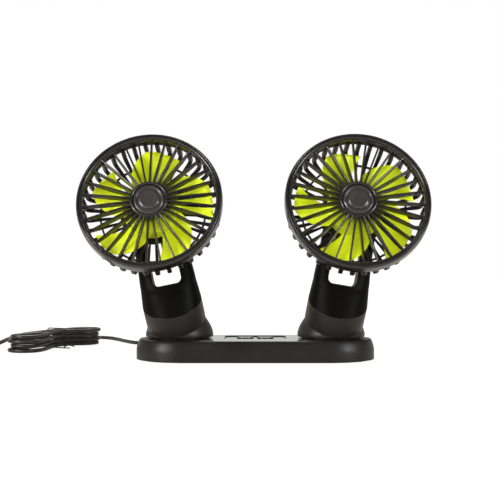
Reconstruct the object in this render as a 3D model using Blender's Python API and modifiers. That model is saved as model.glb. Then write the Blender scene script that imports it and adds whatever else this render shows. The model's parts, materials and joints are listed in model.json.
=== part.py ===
# Twin desk and dashboard fan: a flat base with two push buttons carries two turning
# pedestals, each with an oblique elbow, a fork and a round tilting fan head.
# Metres, +Z up, the front faces -Y, and the origin is at the middle of the underside.
import math

import bmesh
import bpy
import numpy as np
from mathutils import Matrix, Vector

# Fits
clearance = 0.0003
overrun = 0.002
screw_facets = 6
thin_facets = 8
small_facets = 12
round_facets = 18
rim_facets = 30
cage_facets = 36
hub_facets = 20

# Base
base_length = 0.1800
base_width = 0.070
base_height = 0.016
base_wall = 0.0022
base_skirt = 0.0084
base_top_inset = 0.0032
base_lift = 0.0006
base_side_shares = ((0.0, 0.0), (0.45, 0.24), (0.8, 0.54), (0.95, 0.8), (1.0, 1.0))
end_steps = 8
pad_thickness = 0.0018
plate_thickness = 0.0020
boss_radius = 0.0034
screw_radius = 0.0012
screw_head_radius = 0.0026
screw_head_height = 0.0012
screw_reach = 0.0062
screw_side_inset = 0.0095
screw_centre_spacing = 0.058

# Control panel, buttons and the board under them
panel_length = 0.046
panel_width = 0.034
panel_thickness = 0.0008
panel_drop = 0.0006
panel_corner = 0.005
panel_setback = 0.006
button_radius = 0.0063
button_spacing = 0.0153
button_rise = 0.0011
button_dish = 0.0005
button_travel = 0.0010
button_flange = 0.0012
button_flange_height = 0.0010
button_stem_radius = 0.0026
button_face_shares = ((0.0, 1.0), (0.7, 0.7), (0.88, 0.0), (1.0, 1.0))
board_length = 0.044
board_width = 0.026
board_thickness = 0.0016
board_boss_height = 0.0010
board_boss_radius = 0.0022
board_boss_inset = 0.0031
switch_side = 0.0062
switch_body_share = 0.56
switch_share = 0.69
plunger_radius = 0.0016

# Pedestals
post_inset = 0.0326
foot_radius = 0.0254
bell_height = 0.0185
bell_shares = ((1.0, 0.0), (1.0, 0.16), (0.93, 0.44), (0.79, 0.75), (0.68, 1.0))
spigot_radius = 0.0160
spigot_length = 0.0068
bore_radius = 0.0138
bore_height = 0.0138
clip_thickness = 0.0011
clip_groove = 0.0010
clip_width = 0.0040
clip_gap = 0.006
washer_inner = 0.0190
washer_outer = 0.0228
washer_thickness = 0.0009

# Oblique elbow between a pedestal and its fork
elbow_slope = math.radians(32)
elbow_rise = 0.0282
elbow_offset = 0.0163
elbow_radius = 0.0222
drum_length = 0.0175
neck_radius = 0.0185
neck_trim_radius = 0.0240
neck_length = 0.040
elbow_web = 0.0050
elbow_hole = 0.0080
elbow_spigot_length = 0.0082
wire_hole_radius = 0.0030
wire_hole_length = 0.0140
elbow_washer_outer = 0.0150
chamber_radius = 0.0130
chamber_length = 0.0235

# Fork: height, half width, half depth, setback, slope and squareness at each section
fork_length = 0.0583
fork_half_width = 0.0198
fork_half_depth = 0.0110
fork_setback = 0.0040
fork_section_shares = (
    (0.27, 1.06, 1.42, -0.1, 0.62, 2.6),
    (0.52, 1.01, 1.14, 0.4, 0.28, 3.2),
    (0.78, 1.0, 1.02, 0.85, 0.1, 3.6),
    (0.98, 1.0, 0.99, 1.0, 0.0, 3.6),
)
fork_facets = 20
ear_width_share = 0.985
window_width = 0.0211
window_drop = 0.0465
window_corner = 0.004
window_slope = math.radians(6)
bolt_radius = 0.0020
bolt_head_radius = 0.0043
bolt_head_height = 0.0024
bolt_edge_share = 0.8
bolt_side_share = 0.6
bolt_sink = 0.0030

# Fan head, measured along the fan's axis from the tilt hinge
tilt_angle = math.radians(20.65)
rim_radius = 0.0525
rim_width = 0.0046
rim_depth = 0.0045
rim_bead = 0.0014
rim_bevel = 0.0013
skirt_depth = 0.0095
skirt_wall = 0.0016
fin_count = 30
fin_thickness = 0.0014
fin_hub_rise = -0.0004
fin_rim_drop = 0.0016
fin_hub_depth = 0.0060
fin_rim_depth = 0.0027
fin_crown_share = 0.62
hub_radius = 0.0141
hub_lip = 0.0012
hub_lip_rise = 0.0010
hub_back = 0.0066
hub_floor_drop = 0.0016
cap_thickness = 0.0016
cap_step_shares = ((0.0, 1.0), (0.56, 0.84), (0.6, 0.6), (0.96, 0.86), (1.0, 0.6))
cage_back_reach = 0.0200
cage_band_depth = 0.0062
cage_band_wall = 0.0022
cage_depth = 0.0280
rib_count = 36
rib_width = 0.0034
rib_thickness = 0.0020
rib_corner = 0.0030
rib_dish = 0.0020
cage_disc_radius = 0.0240
cage_disc_thickness = 0.0026

# Motor housing with its knuckle, the motor and the rotor
housing_radius = 0.0215
housing_waist = 0.0130
housing_floor = 0.0015
housing_rim_share = 0.45
knuckle_radius = 0.0110
motor_radius = 0.0120
motor_edge = 0.0008
motor_reach = 0.0080
motor_nose_radius = 0.0040
motor_nose_height = 0.0020
shaft_radius = 0.0010
bush_radius = 0.0026
bush_length = 0.0040
housing_screw_circle = 0.0172
housing_screw_radius = 0.0011
housing_screw_head = 0.0021
housing_screw_share = 0.48
housing_screw_count = 3
rotor_hub_radius = 0.0210
rotor_hub_wall = 0.0016
rotor_hub_crown = 0.0016
rotor_crown_shares = ((0.0, 0.0), (0.6, 0.3), (0.92, 1.0), (1.0, 1.8))
rotor_back_gap = 0.0008
rotor_front_drop = 0.0108
rotor_boss_radius = 0.0036
rotor_boss_gap = 0.0020
rotor_boss_crown_share = 0.5
blade_count = 5
blade_tip_radius = 0.0447
blade_thickness = 0.0013
blade_root_angle = math.radians(27.9)
blade_tip_angle = math.radians(21.7)
blade_sweep = math.radians(-23.2)
blade_curl = math.radians(75)
blade_root_rise = 0.0048
blade_tip_rise = 0.0056
blade_tip_rounding_share = 0.22

# Cord, its strain relief, hank, tie and plug
cord_diameter = 0.0032
cord_exit_x = -0.0190
cord_exit_height = 0.0084
relief_length = 0.016
relief_root_radius = 0.0034
relief_tip_radius = 0.0023
relief_flange = 0.0012
relief_flange_radius = 0.0040
hank_centre = (-0.168, 0.100)
hank_heading = math.radians(64)
hank_half_length = 0.052
hank_end_radius = 0.0098
hank_waist = 0.0020
hank_step = 0.0039
hank_layer = 0.0037
hank_layers = 4
hank_loops = 4
hank_start = -0.11
hank_finish = 4.08
hank_lift = 0.0012
loop_points = 24
tie_diameter = 0.0009
tie_gap = 0.0005
plug_place = (-0.2480, 0.1420)
plug_length = 0.018
plug_width = 0.0125
plug_height = 0.0072
plug_corner = 0.0022
plug_lead = 0.0060
usb_length = 0.0118
usb_width = 0.0120
usb_height = 0.0045
usb_wall = 0.0004

# Rest turns in degrees, for the left side and the right: pedestal, elbow and rotor
left_turns = (17.1, 22.3, 21.0)
right_turns = (14.5, 18.0, -8.0)

black = (0.012, 0.012, 0.012)
charcoal = (0.028, 0.028, 0.028)
lime = (0.42, 0.62, 0.03)
steel = (0.60, 0.60, 0.58)


# Scene and object helpers
def clear_scene():
    for item in list(bpy.data.objects):
        bpy.data.objects.remove(item, do_unlink=True)


def new_collection(name):
    collection = bpy.data.collections.new(name)
    bpy.context.scene.collection.children.link(collection)
    return collection


def finish(name, colour, roughness, metallic=0.0):
    material = bpy.data.materials.new(name)
    material.use_nodes = True
    shader = material.node_tree.nodes["Principled BSDF"]
    shader.inputs["Base Color"].default_value = (*colour, 1)
    shader.inputs["Roughness"].default_value = roughness
    shader.inputs["Metallic"].default_value = metallic
    return material


def guide(name, mesh):
    item = bpy.data.objects.new(name, mesh)
    cutters.objects.link(item)
    item.hide_render = True
    item.display_type = "WIRE"
    return item


def evaluated_mesh(item):
    bpy.context.view_layer.update()
    depsgraph = bpy.context.evaluated_depsgraph_get()
    return bpy.data.meshes.new_from_object(item.evaluated_get(depsgraph))


def moved(mesh, matrix):
    mesh.transform(matrix)
    if matrix.determinant() < 0:
        mesh.flip_normals()
    return mesh


# One Boolean, worked out at once, so that both sides can share the mesh it makes
def boolean(mesh, tool, operation):
    target = guide("target", mesh)
    cutter = guide("cutter", tool)
    modifier = target.modifiers.new(operation.lower(), "BOOLEAN")
    modifier.operation = operation
    modifier.solver = "EXACT"
    modifier.object = cutter
    result = evaluated_mesh(target)
    bpy.data.objects.remove(target)
    bpy.data.objects.remove(cutter)
    return cleaned(result)


# Doubled points go, and faces that lie in one plane become one
def cleaned(mesh):
    form = bmesh.new()
    form.from_mesh(mesh)
    bmesh.ops.remove_doubles(form, verts=form.verts, dist=clearance / 100)
    bmesh.ops.dissolve_degenerate(form, edges=form.edges, dist=clearance / 100)
    bmesh.ops.dissolve_limit(form, verts=form.verts, edges=form.edges, angle_limit=math.radians(0.1))
    form.to_mesh(mesh)
    form.free()
    return mesh


def join(mesh, *tools):
    for tool in tools:
        mesh = boolean(mesh, tool, "UNION")
    return mesh


def cut(mesh, *tools):
    for tool in tools:
        mesh = boolean(mesh, tool, "DIFFERENCE")
    return mesh


def trim(mesh, tool):
    return boolean(mesh, tool, "INTERSECT")


def part(name, mesh, material, parent=None):
    item = bpy.data.objects.new(name, mesh.copy())
    parts.objects.link(item)
    item.data.materials.clear()
    item.data.materials.append(material)
    item.data.shade_smooth()
    item.data.set_sharp_from_angle(angle=math.radians(35))
    item.parent = parent
    return item


def axis_empty(name, matrix, parent=None):
    item = bpy.data.objects.new(name, None)
    cutters.objects.link(item)
    item.empty_display_size = foot_radius
    item.parent = parent
    item.matrix_local = matrix
    return item


# Turned shape about Z: the profile runs down the outer side, as (radius, height)
def turned(profile, steps=round_facets, closed=False):
    mesh = bpy.data.meshes.new("profile")
    points = [(radius, 0, height) for radius, height in profile]
    edges = [(index, index + 1) for index in range(len(points) - 1)]
    if closed:
        edges.append((len(points) - 1, 0))
    mesh.from_pydata(points, edges, [])
    item = guide("profile", mesh)
    screw = item.modifiers.new("turn", "SCREW")
    screw.axis = "Z"
    screw.angle = math.tau
    screw.steps = steps
    screw.render_steps = steps
    screw.use_merge_vertices = True
    screw.merge_threshold = clearance / 100
    result = evaluated_mesh(item)
    bpy.data.objects.remove(item)
    return outward(result)


def outward(mesh):
    form = bmesh.new()
    form.from_mesh(mesh)
    bmesh.ops.remove_doubles(form, verts=form.verts, dist=clearance / 100)
    bmesh.ops.recalc_face_normals(form, faces=form.faces)
    form.to_mesh(mesh)
    form.free()
    return mesh


def cylinder(radius, low, high, steps=small_facets):
    return turned([(0, high), (radius, high), (radius, low), (0, low)], steps)


def ring(inner, outer, low, high, steps=small_facets):
    return turned([(outer, high), (outer, low), (inner, low), (inner, high)], steps, closed=True)


def box(size, centre):
    form = bmesh.new()
    bmesh.ops.create_cube(form, size=1)
    bmesh.ops.scale(form, vec=size, verts=form.verts)
    bmesh.ops.translate(form, vec=centre, verts=form.verts)
    mesh = bpy.data.meshes.new("box")
    form.to_mesh(mesh)
    form.free()
    return mesh


# Flat outline in XY, filled and made a plate from low to high
def plate(outline, low, high):
    curve = bpy.data.curves.new("outline", "CURVE")
    curve.dimensions = "2D"
    curve.fill_mode = "BOTH"
    curve.extrude = (high - low) / 2
    spline = curve.splines.new("POLY")
    spline.points.add(len(outline) - 1)
    for point, (across, along) in zip(spline.points, outline):
        point.co = (across, along, 0, 1)
    spline.use_cyclic_u = True
    item = guide("outline", curve)
    mesh = evaluated_mesh(item)
    bpy.data.objects.remove(item)
    moved(mesh, Matrix.Translation((0, 0, (high + low) / 2)))
    return outward(mesh)


# Closed solid through stacked rings of as many points each
def loft(rings):
    form = bmesh.new()
    loops = [[form.verts.new(point) for point in points] for points in rings]
    for lower, upper in zip(loops, loops[1:]):
        for index in range(len(lower)):
            after = (index + 1) % len(lower)
            form.faces.new((lower[index], lower[after], upper[after], upper[index]))
    form.faces.new(reversed(loops[0]))
    form.faces.new(loops[-1])
    mesh = bpy.data.meshes.new("loft")
    form.to_mesh(mesh)
    form.free()
    return outward(mesh)


def repeated(mesh, matrices):
    form = bmesh.new()
    for matrix in matrices:
        copy = moved(mesh.copy(), matrix)
        form.from_mesh(copy)
        bpy.data.meshes.remove(copy)
    result = bpy.data.meshes.new("repeated")
    form.to_mesh(result)
    form.free()
    return result


def about_z(mesh, count, start=0.0):
    return repeated(mesh, [Matrix.Rotation(start + math.tau * i / count, 4, "Z") for i in range(count)])


def at_places(mesh, places):
    return repeated(mesh, [Matrix.Translation(place) for place in places])


# Outline helpers
def arc(centre, radius, start, stop, steps):
    angles = [start + (stop - start) * index / steps for index in range(steps + 1)]
    return [(centre[0] + radius * math.cos(a), centre[1] + radius * math.sin(a)) for a in angles]


def stadium(length, width, steps=end_steps):
    radius = width / 2
    reach = length / 2 - radius
    quarter = math.pi / 2
    right = arc((reach, 0), radius, -quarter, quarter, steps)
    left = arc((-reach, 0), radius, quarter, 3 * quarter, steps)
    return right + left


def rounded_rectangle(length, width, corner, steps=3):
    outline = []
    for index, (across, along) in enumerate(((1, 1), (-1, 1), (-1, -1), (1, -1))):
        centre = (across * (length / 2 - corner), along * (width / 2 - corner))
        start = index * math.pi / 2
        outline += arc(centre, corner, start, start + math.pi / 2, steps)
    return outline


# Base
def post_across():
    return base_length / 2 - post_inset


def base_level(inset, height):
    outline = stadium(base_length - 2 * inset, base_width - 2 * inset)
    return [(across, along, height) for across, along in outline]


def screw_places():
    across = screw_centre_spacing / 2
    along = base_width / 2 - screw_side_inset
    return [(sx * across, sy * along, 0) for sx in (-1, 1) for sy in (-1, 1)]


def plate_low():
    return pad_thickness + clearance


def plate_high():
    return plate_low() + plate_thickness


def base_shell_mesh():
    side = base_height - base_skirt
    rings = [base_level(0, base_lift)]
    for rise, inset in base_side_shares:
        rings.append(base_level(base_top_inset * inset, base_skirt + side * rise))
    shell = loft(rings)
    inner = stadium(base_length - 2 * base_wall, base_width - 2 * base_wall)
    ceiling = base_height - base_wall
    hollow_skirt = plate(inner, -overrun, base_skirt)
    narrow = 2 * (base_wall + base_top_inset)
    hollow_top = plate(stadium(base_length - narrow, base_width - narrow), 0, ceiling)
    shell = cut(shell, join(hollow_skirt, hollow_top))
    boss = ring(screw_radius + clearance, boss_radius, plate_high() + clearance, ceiling + clearance, thin_facets)
    shell = join(shell, at_places(boss, screw_places()))
    for side in (-1, 1):
        place = Matrix.Translation((side * post_across(), 0, 0))
        hole = cylinder(spigot_radius + clearance, ceiling - overrun, base_height + overrun, round_facets)
        shell = cut(shell, moved(hole, place))
    recess = plate(
        rounded_rectangle(panel_length + 2 * clearance, panel_width + 2 * clearance, panel_corner),
        base_height - panel_drop - panel_thickness - clearance, base_height + overrun)
    hole = cylinder(button_radius + clearance, ceiling - overrun, base_height + overrun)
    shell = cut(shell, moved(recess, Matrix.Translation((0, panel_setback, 0))), at_places(hole, button_places()))
    return cut(shell, exit_hole())


def button_places():
    return [(side * button_spacing / 2, panel_setback, 0) for side in (-1, 1)]


def exit_hole():
    hole = cylinder(relief_root_radius + clearance, -base_wall - overrun - base_top_inset, overrun, thin_facets)
    return moved(hole, exit_frame())


# Frame of the cord's exit: Z points out of the rear wall
def exit_frame():
    place = Matrix.Translation((cord_exit_x, base_width / 2, cord_exit_height))
    return place @ Matrix.Rotation(-math.pi / 2, 4, "X")


def base_plate_mesh():
    gap = 2 * (base_wall + clearance)
    solid = plate(stadium(base_length - gap, base_width - gap), plate_low(), plate_high())
    head = cylinder(screw_head_radius + clearance, 0, plate_low() + screw_head_height + clearance, thin_facets)
    shank = cylinder(screw_radius + clearance, 0, plate_high() + overrun, thin_facets)
    solid = cut(solid, at_places(head, screw_places()), at_places(shank, screw_places()))
    boss = cylinder(board_boss_radius, plate_high() - overrun / 4, plate_high() + board_boss_height, thin_facets)
    return join(solid, at_places(boss, board_corner_places()))


def board_corner_places():
    across = board_length / 2 - board_boss_inset
    along = board_width / 2 - board_boss_inset
    return [(sx * across, panel_setback + sy * along, 0) for sx in (-1, 1) for sy in (-1, 1)]


def screw(head_radius, head_height, shank_radius, reach, steps=screw_facets):
    profile = [
        (0, reach),
        (shank_radius, reach),
        (shank_radius, 0),
        (head_radius, 0),
        (head_radius, -head_height),
        (0, -head_height),
    ]
    return turned(profile, steps)


def base_screw_mesh():
    one = screw(screw_head_radius, screw_head_height, screw_radius, screw_reach)
    return moved(one, Matrix.Translation((0, 0, plate_low() + screw_head_height)))


def base_pad_mesh():
    gap = 2 * (base_wall + 2 * clearance)
    return plate(stadium(base_length - gap, base_width - gap), 0, pad_thickness)


def control_panel_mesh():
    top = base_height - panel_drop
    solid = plate(rounded_rectangle(panel_length, panel_width, panel_corner), top - panel_thickness, top)
    moved(solid, Matrix.Translation((0, panel_setback, 0)))
    hole = cylinder(button_radius + clearance, 0, base_height + overrun)
    return cut(solid, at_places(hole, button_places()))


def button_flange_low():
    return base_height - base_wall - clearance - button_flange_height


# Height left for a button's stem and its switch, less the button's travel
def switch_room():
    return button_flange_low() - board_high() - button_travel - 2 * clearance


def button_mesh():
    top = base_height + button_rise
    low = button_flange_low()
    flange_top = low + button_flange_height
    wide = button_radius + button_flange
    stem_low = low - switch_room() * (1 - switch_share)
    profile = [(button_radius * across, top - button_dish * drop) for across, drop in button_face_shares]
    profile += [
        (button_radius, flange_top),
        (wide, flange_top),
        (wide, low),
        (button_stem_radius, low),
        (button_stem_radius, stem_low),
        (0, stem_low),
    ]
    return turned(profile, small_facets)


def board_low():
    return plate_high() + board_boss_height + clearance


def board_high():
    return board_low() + board_thickness


def circuit_board_mesh():
    return box(
        (board_length, board_width, board_thickness),
        (0, panel_setback, board_low() + board_thickness / 2))


# The switch's plunger reaches up to where the pressed button stops
def button_switch_mesh():
    low = board_high() + clearance
    height = switch_room() * switch_body_share
    body = box((switch_side, switch_side, height), (0, 0, low + height / 2))
    plunger = cylinder(plunger_radius, low + height / 2, low + switch_room() * switch_share, thin_facets)
    return join(body, plunger)


def cord_grommet_mesh():
    inner = -base_wall - base_top_inset - clearance
    tip = relief_length
    profile = [
        (0, tip),
        (relief_tip_radius, tip),
        (relief_root_radius, 0),
        (relief_root_radius, inner),
        (relief_flange_radius, inner),
        (relief_flange_radius, inner - relief_flange),
        (0, inner - relief_flange),
    ]
    return moved(turned(profile, thin_facets), exit_frame())


# Pedestal, measured from the top of the base on its own turning axis
def elbow_place():
    return Matrix.Translation((0, -elbow_offset, elbow_rise))


def slope_frame():
    return Matrix.Rotation(elbow_slope, 4, "X")


def seam_frame():
    return elbow_place() @ slope_frame()


# The foot turns on its washer, which leaves a thin shadow line above the base
def foot_low():
    return washer_thickness + 2 * clearance


def pedestal_mesh():
    bell = [(0, bell_height + foot_low())]
    for radius, rise in reversed(bell_shares):
        bell.append((foot_radius * radius, bell_height * rise + foot_low()))
    bell.append((0, foot_low()))
    post = turned(bell)
    neck = moved(cylinder(neck_radius, -neck_length, -clearance, round_facets), seam_frame())
    column = cylinder(neck_trim_radius, foot_low() + clearance, elbow_rise + 2 * elbow_radius, round_facets)
    neck = trim(neck, column)
    drum = moved(cylinder(elbow_radius, -drum_length, -clearance / 2, round_facets), seam_frame())
    post = join(post, neck, drum)
    spigot = [
        (0, foot_low() + clearance),
        (spigot_radius, foot_low() + clearance),
        (spigot_radius, -base_wall),
        (spigot_radius - clip_groove, -base_wall),
        (spigot_radius - clip_groove, -base_wall - clip_thickness - 2 * clearance),
        (spigot_radius, -base_wall - clip_thickness - 2 * clearance),
        (spigot_radius, -spigot_length),
        (0, -spigot_length),
    ]
    post = join(post, turned(spigot))
    bore = cylinder(bore_radius, -spigot_length - overrun, bore_height, round_facets)
    post = cut(post, bore)
    recess = cylinder(
        elbow_washer_outer + clearance, -clip_thickness - clearance, overrun, round_facets)
    hole = cylinder(elbow_hole, -elbow_web - overrun, overrun)
    chamber = cylinder(chamber_radius, -chamber_length, -elbow_web)
    for tool in (recess, hole, chamber):
        post = cut(post, moved(tool, seam_frame()))
    return post


def pedestal_washer_mesh():
    return ring(washer_inner, washer_outer, clearance, clearance + washer_thickness, round_facets)


# Open spring clip, lying in the groove of a spigot
def clip(inner, outer, low, high, steps=small_facets):
    solid = ring(inner, outer, low, high, steps)
    slot = box((clip_gap, outer * 2, (high - low) * 3), (0, outer, (high + low) / 2))
    return cut(solid, slot)


def pedestal_clip_mesh():
    high = -base_wall - clearance
    inner = spigot_radius - clip_groove + clearance
    outer = spigot_radius + clip_width - clip_groove
    return clip(inner, outer, high - clip_thickness, high, round_facets)


def elbow_washer_mesh():
    low = -clip_thickness
    return moved(ring(elbow_hole, elbow_washer_outer, low, -clearance / 2), slope_frame())


def elbow_clip_mesh():
    high = -elbow_web - clearance
    inner = elbow_hole - clip_groove
    solid = clip(inner, elbow_hole - clip_groove + clip_width, high - clip_thickness, high)
    return moved(solid, slope_frame())


# Fork, from the elbow's seam to the tilt hinge
def squared(angle, squareness):
    share = 2 / squareness
    across = math.copysign(abs(math.cos(angle)) ** share, math.cos(angle))
    along = math.copysign(abs(math.sin(angle)) ** share, math.sin(angle))
    return across, along


def fork_body():
    angles = [math.tau * index / fork_facets for index in range(fork_facets)]
    seam = [
        slope_frame() @ Vector((elbow_radius * math.cos(a), elbow_radius * math.sin(a), clearance / 2))
        for a in angles]
    rings = [seam]
    for height, width, depth, setback, slope, squareness in fork_section_shares:
        section = []
        for angle in angles:
            across, along = squared(angle, squareness)
            y = fork_setback * setback + fork_half_depth * depth * along
            z = fork_length * height + y * math.tan(elbow_slope) * slope
            section.append((fork_half_width * width * across, y, z))
        rings.append(section)
    return loft(rings)


def elbow_spigot():
    radius = elbow_hole - clearance
    groove_high = -elbow_web
    groove_low = groove_high - clip_thickness - 2 * clearance
    profile = [
        (0, clearance * 2),
        (radius, clearance * 2),
        (radius, groove_high),
        (radius - clip_groove, groove_high),
        (radius - clip_groove, groove_low),
        (radius, groove_low),
        (radius, -elbow_spigot_length),
        (0, -elbow_spigot_length),
    ]
    return moved(turned(profile, small_facets), slope_frame())


def hinge_place():
    return Matrix.Translation((0, fork_setback, fork_length))


# Solids about the hinge's axis are turned about Z and then laid along X
def along_hinge():
    return hinge_place() @ Matrix.Rotation(math.pi / 2, 4, "Y")


def window_cutter():
    height = window_drop + 2 * fork_half_depth
    depth = 4 * elbow_radius
    outline = rounded_rectangle(window_width, height, window_corner)
    solid = plate(outline, -depth / 2, depth / 2)
    moved(solid, Matrix.Translation((0, height / 2 - window_drop, 0)))
    turn = Matrix.Rotation(math.pi / 2 + window_slope, 4, "X")
    return moved(solid, hinge_place() @ turn)


def fork_mesh():
    ear = fork_half_width * ear_width_share
    ears = moved(cylinder(fork_half_depth, -ear, ear, round_facets), along_hinge())
    body = join(fork_body(), ears)
    body = join(cut(body, window_cutter()), elbow_spigot())
    wire_hole = cylinder(wire_hole_radius, -elbow_spigot_length - overrun, wire_hole_length, thin_facets)
    moved(wire_hole, slope_frame())
    hole = cylinder(bolt_radius + clearance, -2 * fork_half_width, 2 * fork_half_width, thin_facets)
    sink = cylinder(bolt_head_radius + clearance, fork_half_width - bolt_sink, 2 * fork_half_width, small_facets)
    other = moved(sink.copy(), Matrix.Rotation(math.pi, 4, "Y"))
    body = cut(body, wire_hole)
    for tool in (hole, sink, other):
        body = cut(body, moved(tool, along_hinge()))
    return body


def tilt_bolt_mesh():
    seat = fork_half_width - bolt_sink + clearance
    profile = [
        (0, seat + bolt_head_height),
        (bolt_head_radius * bolt_edge_share, seat + bolt_head_height),
        (bolt_head_radius, seat + bolt_head_height * bolt_side_share),
        (bolt_head_radius, seat),
        (bolt_radius, seat),
        (bolt_radius, -seat - bolt_head_height),
        (0, -seat - bolt_head_height),
    ]
    return moved(turned(profile, thin_facets), along_hinge())


def tilt_nut_mesh():
    seat = fork_half_width - bolt_sink + clearance
    nut = ring(bolt_radius + clearance, bolt_head_radius, -seat - bolt_head_height, -seat, 6)
    return moved(nut, along_hinge())


# Head pieces lie in the head's frame: Z is the fan's axis, X is the hinge
def rim_level(depth):
    return cage_back_reach + cage_depth - depth


def skirt_inner():
    return rim_radius - skirt_wall


def rim_mesh():
    outer = rim_radius
    inner = rim_radius - rim_width
    profile = [
        (outer - rim_bead, rim_level(0)),
        (outer, rim_level(rim_bead)),
        (outer, rim_level(skirt_depth)),
        (skirt_inner(), rim_level(skirt_depth)),
        (skirt_inner(), rim_level(rim_depth)),
        (inner, rim_level(rim_depth)),
        (inner, rim_level(rim_bevel)),
        (inner + rim_bevel, rim_level(0)),
    ]
    return turned(profile, rim_facets, closed=True)


def fin_mesh():
    start = hub_radius - hub_lip
    stop = rim_radius - rim_width + rim_bevel / 2
    middle = start + (stop - start) / 2
    rise = fin_hub_rise + fin_rim_drop
    outline = [
        (start, rim_level(fin_hub_depth - fin_hub_rise)),
        (stop, rim_level(fin_rim_drop + fin_rim_depth)),
        (stop, rim_level(fin_rim_drop)),
        (middle, rim_level(fin_rim_drop - rise * fin_crown_share)),
        (start, rim_level(-fin_hub_rise)),
    ]
    solid = plate(outline, -fin_thickness / 2, fin_thickness / 2)
    return moved(solid, Matrix.Rotation(math.pi / 2, 4, "X"))


def grille_hub_mesh():
    high = rim_level(-fin_hub_rise - hub_lip_rise)
    floor = high - hub_lip_rise - hub_floor_drop
    profile = [
        (0, floor),
        (hub_radius - 2 * hub_lip, floor),
        (hub_radius - 2 * hub_lip, high - hub_lip_rise / 2),
        (hub_radius - hub_lip, high),
        (hub_radius, high - hub_lip),
        (hub_radius, rim_level(hub_back)),
        (0, rim_level(hub_back)),
    ]
    return turned(profile, hub_facets)


def front_grille_mesh():
    fins = about_z(fin_mesh(), fin_count, math.pi / fin_count)
    return join(rim_mesh(), fins, grille_hub_mesh())


def hub_cap_mesh():
    radius = hub_radius - 2 * hub_lip - clearance
    low = rim_level(hub_floor_drop - fin_hub_rise - clearance)
    profile = [(radius * across, low + cap_thickness * rise) for across, rise in cap_step_shares]
    profile += [(radius, low), (0, low)]
    return turned(profile, hub_facets)


def cage_level(depth):
    return rim_level(rim_depth + clearance + depth)


def rib_mesh():
    outer = skirt_inner() - clearance
    back = cage_back_reach
    outer_side = outer - clearance / 3
    inner_side = outer_side - rib_thickness
    start = cage_disc_radius - cage_disc_thickness
    high = cage_level(cage_band_depth - cage_band_wall)
    outline = [
        (outer_side, high),
        (outer_side, back + rib_dish + rib_corner),
        (outer_side - rib_corner, back + rib_dish),
        (start, back),
        (start, back + rib_thickness),
        (inner_side, back + rib_dish + rib_thickness),
        (inner_side, high),
    ]
    solid = moved(plate(outline, -rib_width / 2, rib_width / 2), Matrix.Rotation(math.pi / 2, 4, "X"))
    for vertex in solid.vertices:
        vertex.co.y *= vertex.co.x / outer
    return solid


def rear_cage_mesh():
    outer = skirt_inner() - clearance
    band = ring(outer - cage_band_wall, outer, cage_level(cage_band_depth), cage_level(0), cage_facets)
    back = cage_back_reach
    disc = ring(
        motor_radius + clearance, cage_disc_radius, back - clearance, back + cage_disc_thickness, cage_facets // 2)
    ribs = about_z(rib_mesh(), rib_count, math.pi / rib_count)
    cage = join(band, ribs, disc)
    hole = cylinder(housing_screw_radius + clearance, back - overrun, back + 2 * overrun, thin_facets)
    return cut(cage, at_places(hole, housing_screw_places()))


def housing_screw_places():
    angles = [math.pi / 6 + math.tau * index / housing_screw_count for index in range(housing_screw_count)]
    return [(housing_screw_circle * math.cos(a), housing_screw_circle * math.sin(a), 0) for a in angles]


def housing_high():
    return cage_back_reach - 2 * clearance


# The housing ends where the fork's ears turn past it
def housing_length():
    return housing_high() - fork_half_depth - clearance


def housing_screw_reach():
    return housing_length() * housing_screw_share


def housing_screw_seat():
    return cage_back_reach + cage_disc_thickness + clearance


# The knuckle fills the fork's window but for a clearance at each side
def knuckle_half_width():
    return window_width / 2 - clearance


def motor_housing_mesh():
    high = housing_high()
    profile = [
        (0, high),
        (housing_radius, high),
        (housing_radius, high - housing_length() * housing_rim_share),
        (housing_waist, high - housing_length()),
        (0, high - housing_length()),
    ]
    cup = turned(profile)
    quarter = math.pi / 2
    outline = arc((0, 0), knuckle_radius, quarter, 3 * quarter, 10)
    reach = high - housing_length() / 2
    outline += [(reach, -knuckle_radius), (reach, knuckle_radius)]
    knuckle = plate(outline, -knuckle_half_width(), knuckle_half_width())
    knuckle = moved(knuckle, Matrix.Rotation(-quarter, 4, "Y"))
    solid = join(cup, knuckle)
    well = cylinder(motor_radius + clearance, motor_low() - clearance, high + overrun)
    pilot = cylinder(
        housing_screw_radius + clearance, high - housing_screw_reach(), high + overrun, thin_facets)
    solid = cut(solid, well, at_places(pilot, housing_screw_places()))
    across = Matrix.Rotation(quarter, 4, "Y")
    hole = cylinder(bolt_radius + clearance, -window_width, window_width, thin_facets)
    return cut(solid, moved(hole, across))


def housing_screw_mesh():
    one = screw(housing_screw_head, housing_screw_head / 2, housing_screw_radius, housing_screw_reach())
    moved(one, Matrix.Rotation(math.pi, 4, "X"))
    return moved(one, Matrix.Translation((0, 0, housing_screw_seat())))


def motor_low():
    return housing_high() - housing_length() + housing_floor + clearance


def motor_high():
    return housing_high() + motor_reach


def motor_mesh():
    low = motor_low()
    high = motor_high()
    nose = high + motor_nose_height
    bore = bush_radius + clearance
    profile = [
        (0, nose - bush_length),
        (bore, nose - bush_length),
        (bore, nose),
        (motor_nose_radius, nose),
        (motor_nose_radius, high),
        (motor_radius - motor_edge, high),
        (motor_radius, high - motor_edge),
        (motor_radius, low),
        (0, low),
    ]
    return turned(profile, small_facets)


def bush_low():
    return motor_high() + motor_nose_height - bush_length + clearance


def motor_bush_mesh():
    return ring(shaft_radius + clearance, bush_radius, bush_low(), bush_low() + bush_length, thin_facets)


def rotor_front():
    return rim_level(rotor_front_drop)


def rotor_back():
    return housing_screw_seat() + housing_screw_head / 2 + rotor_back_gap


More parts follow.
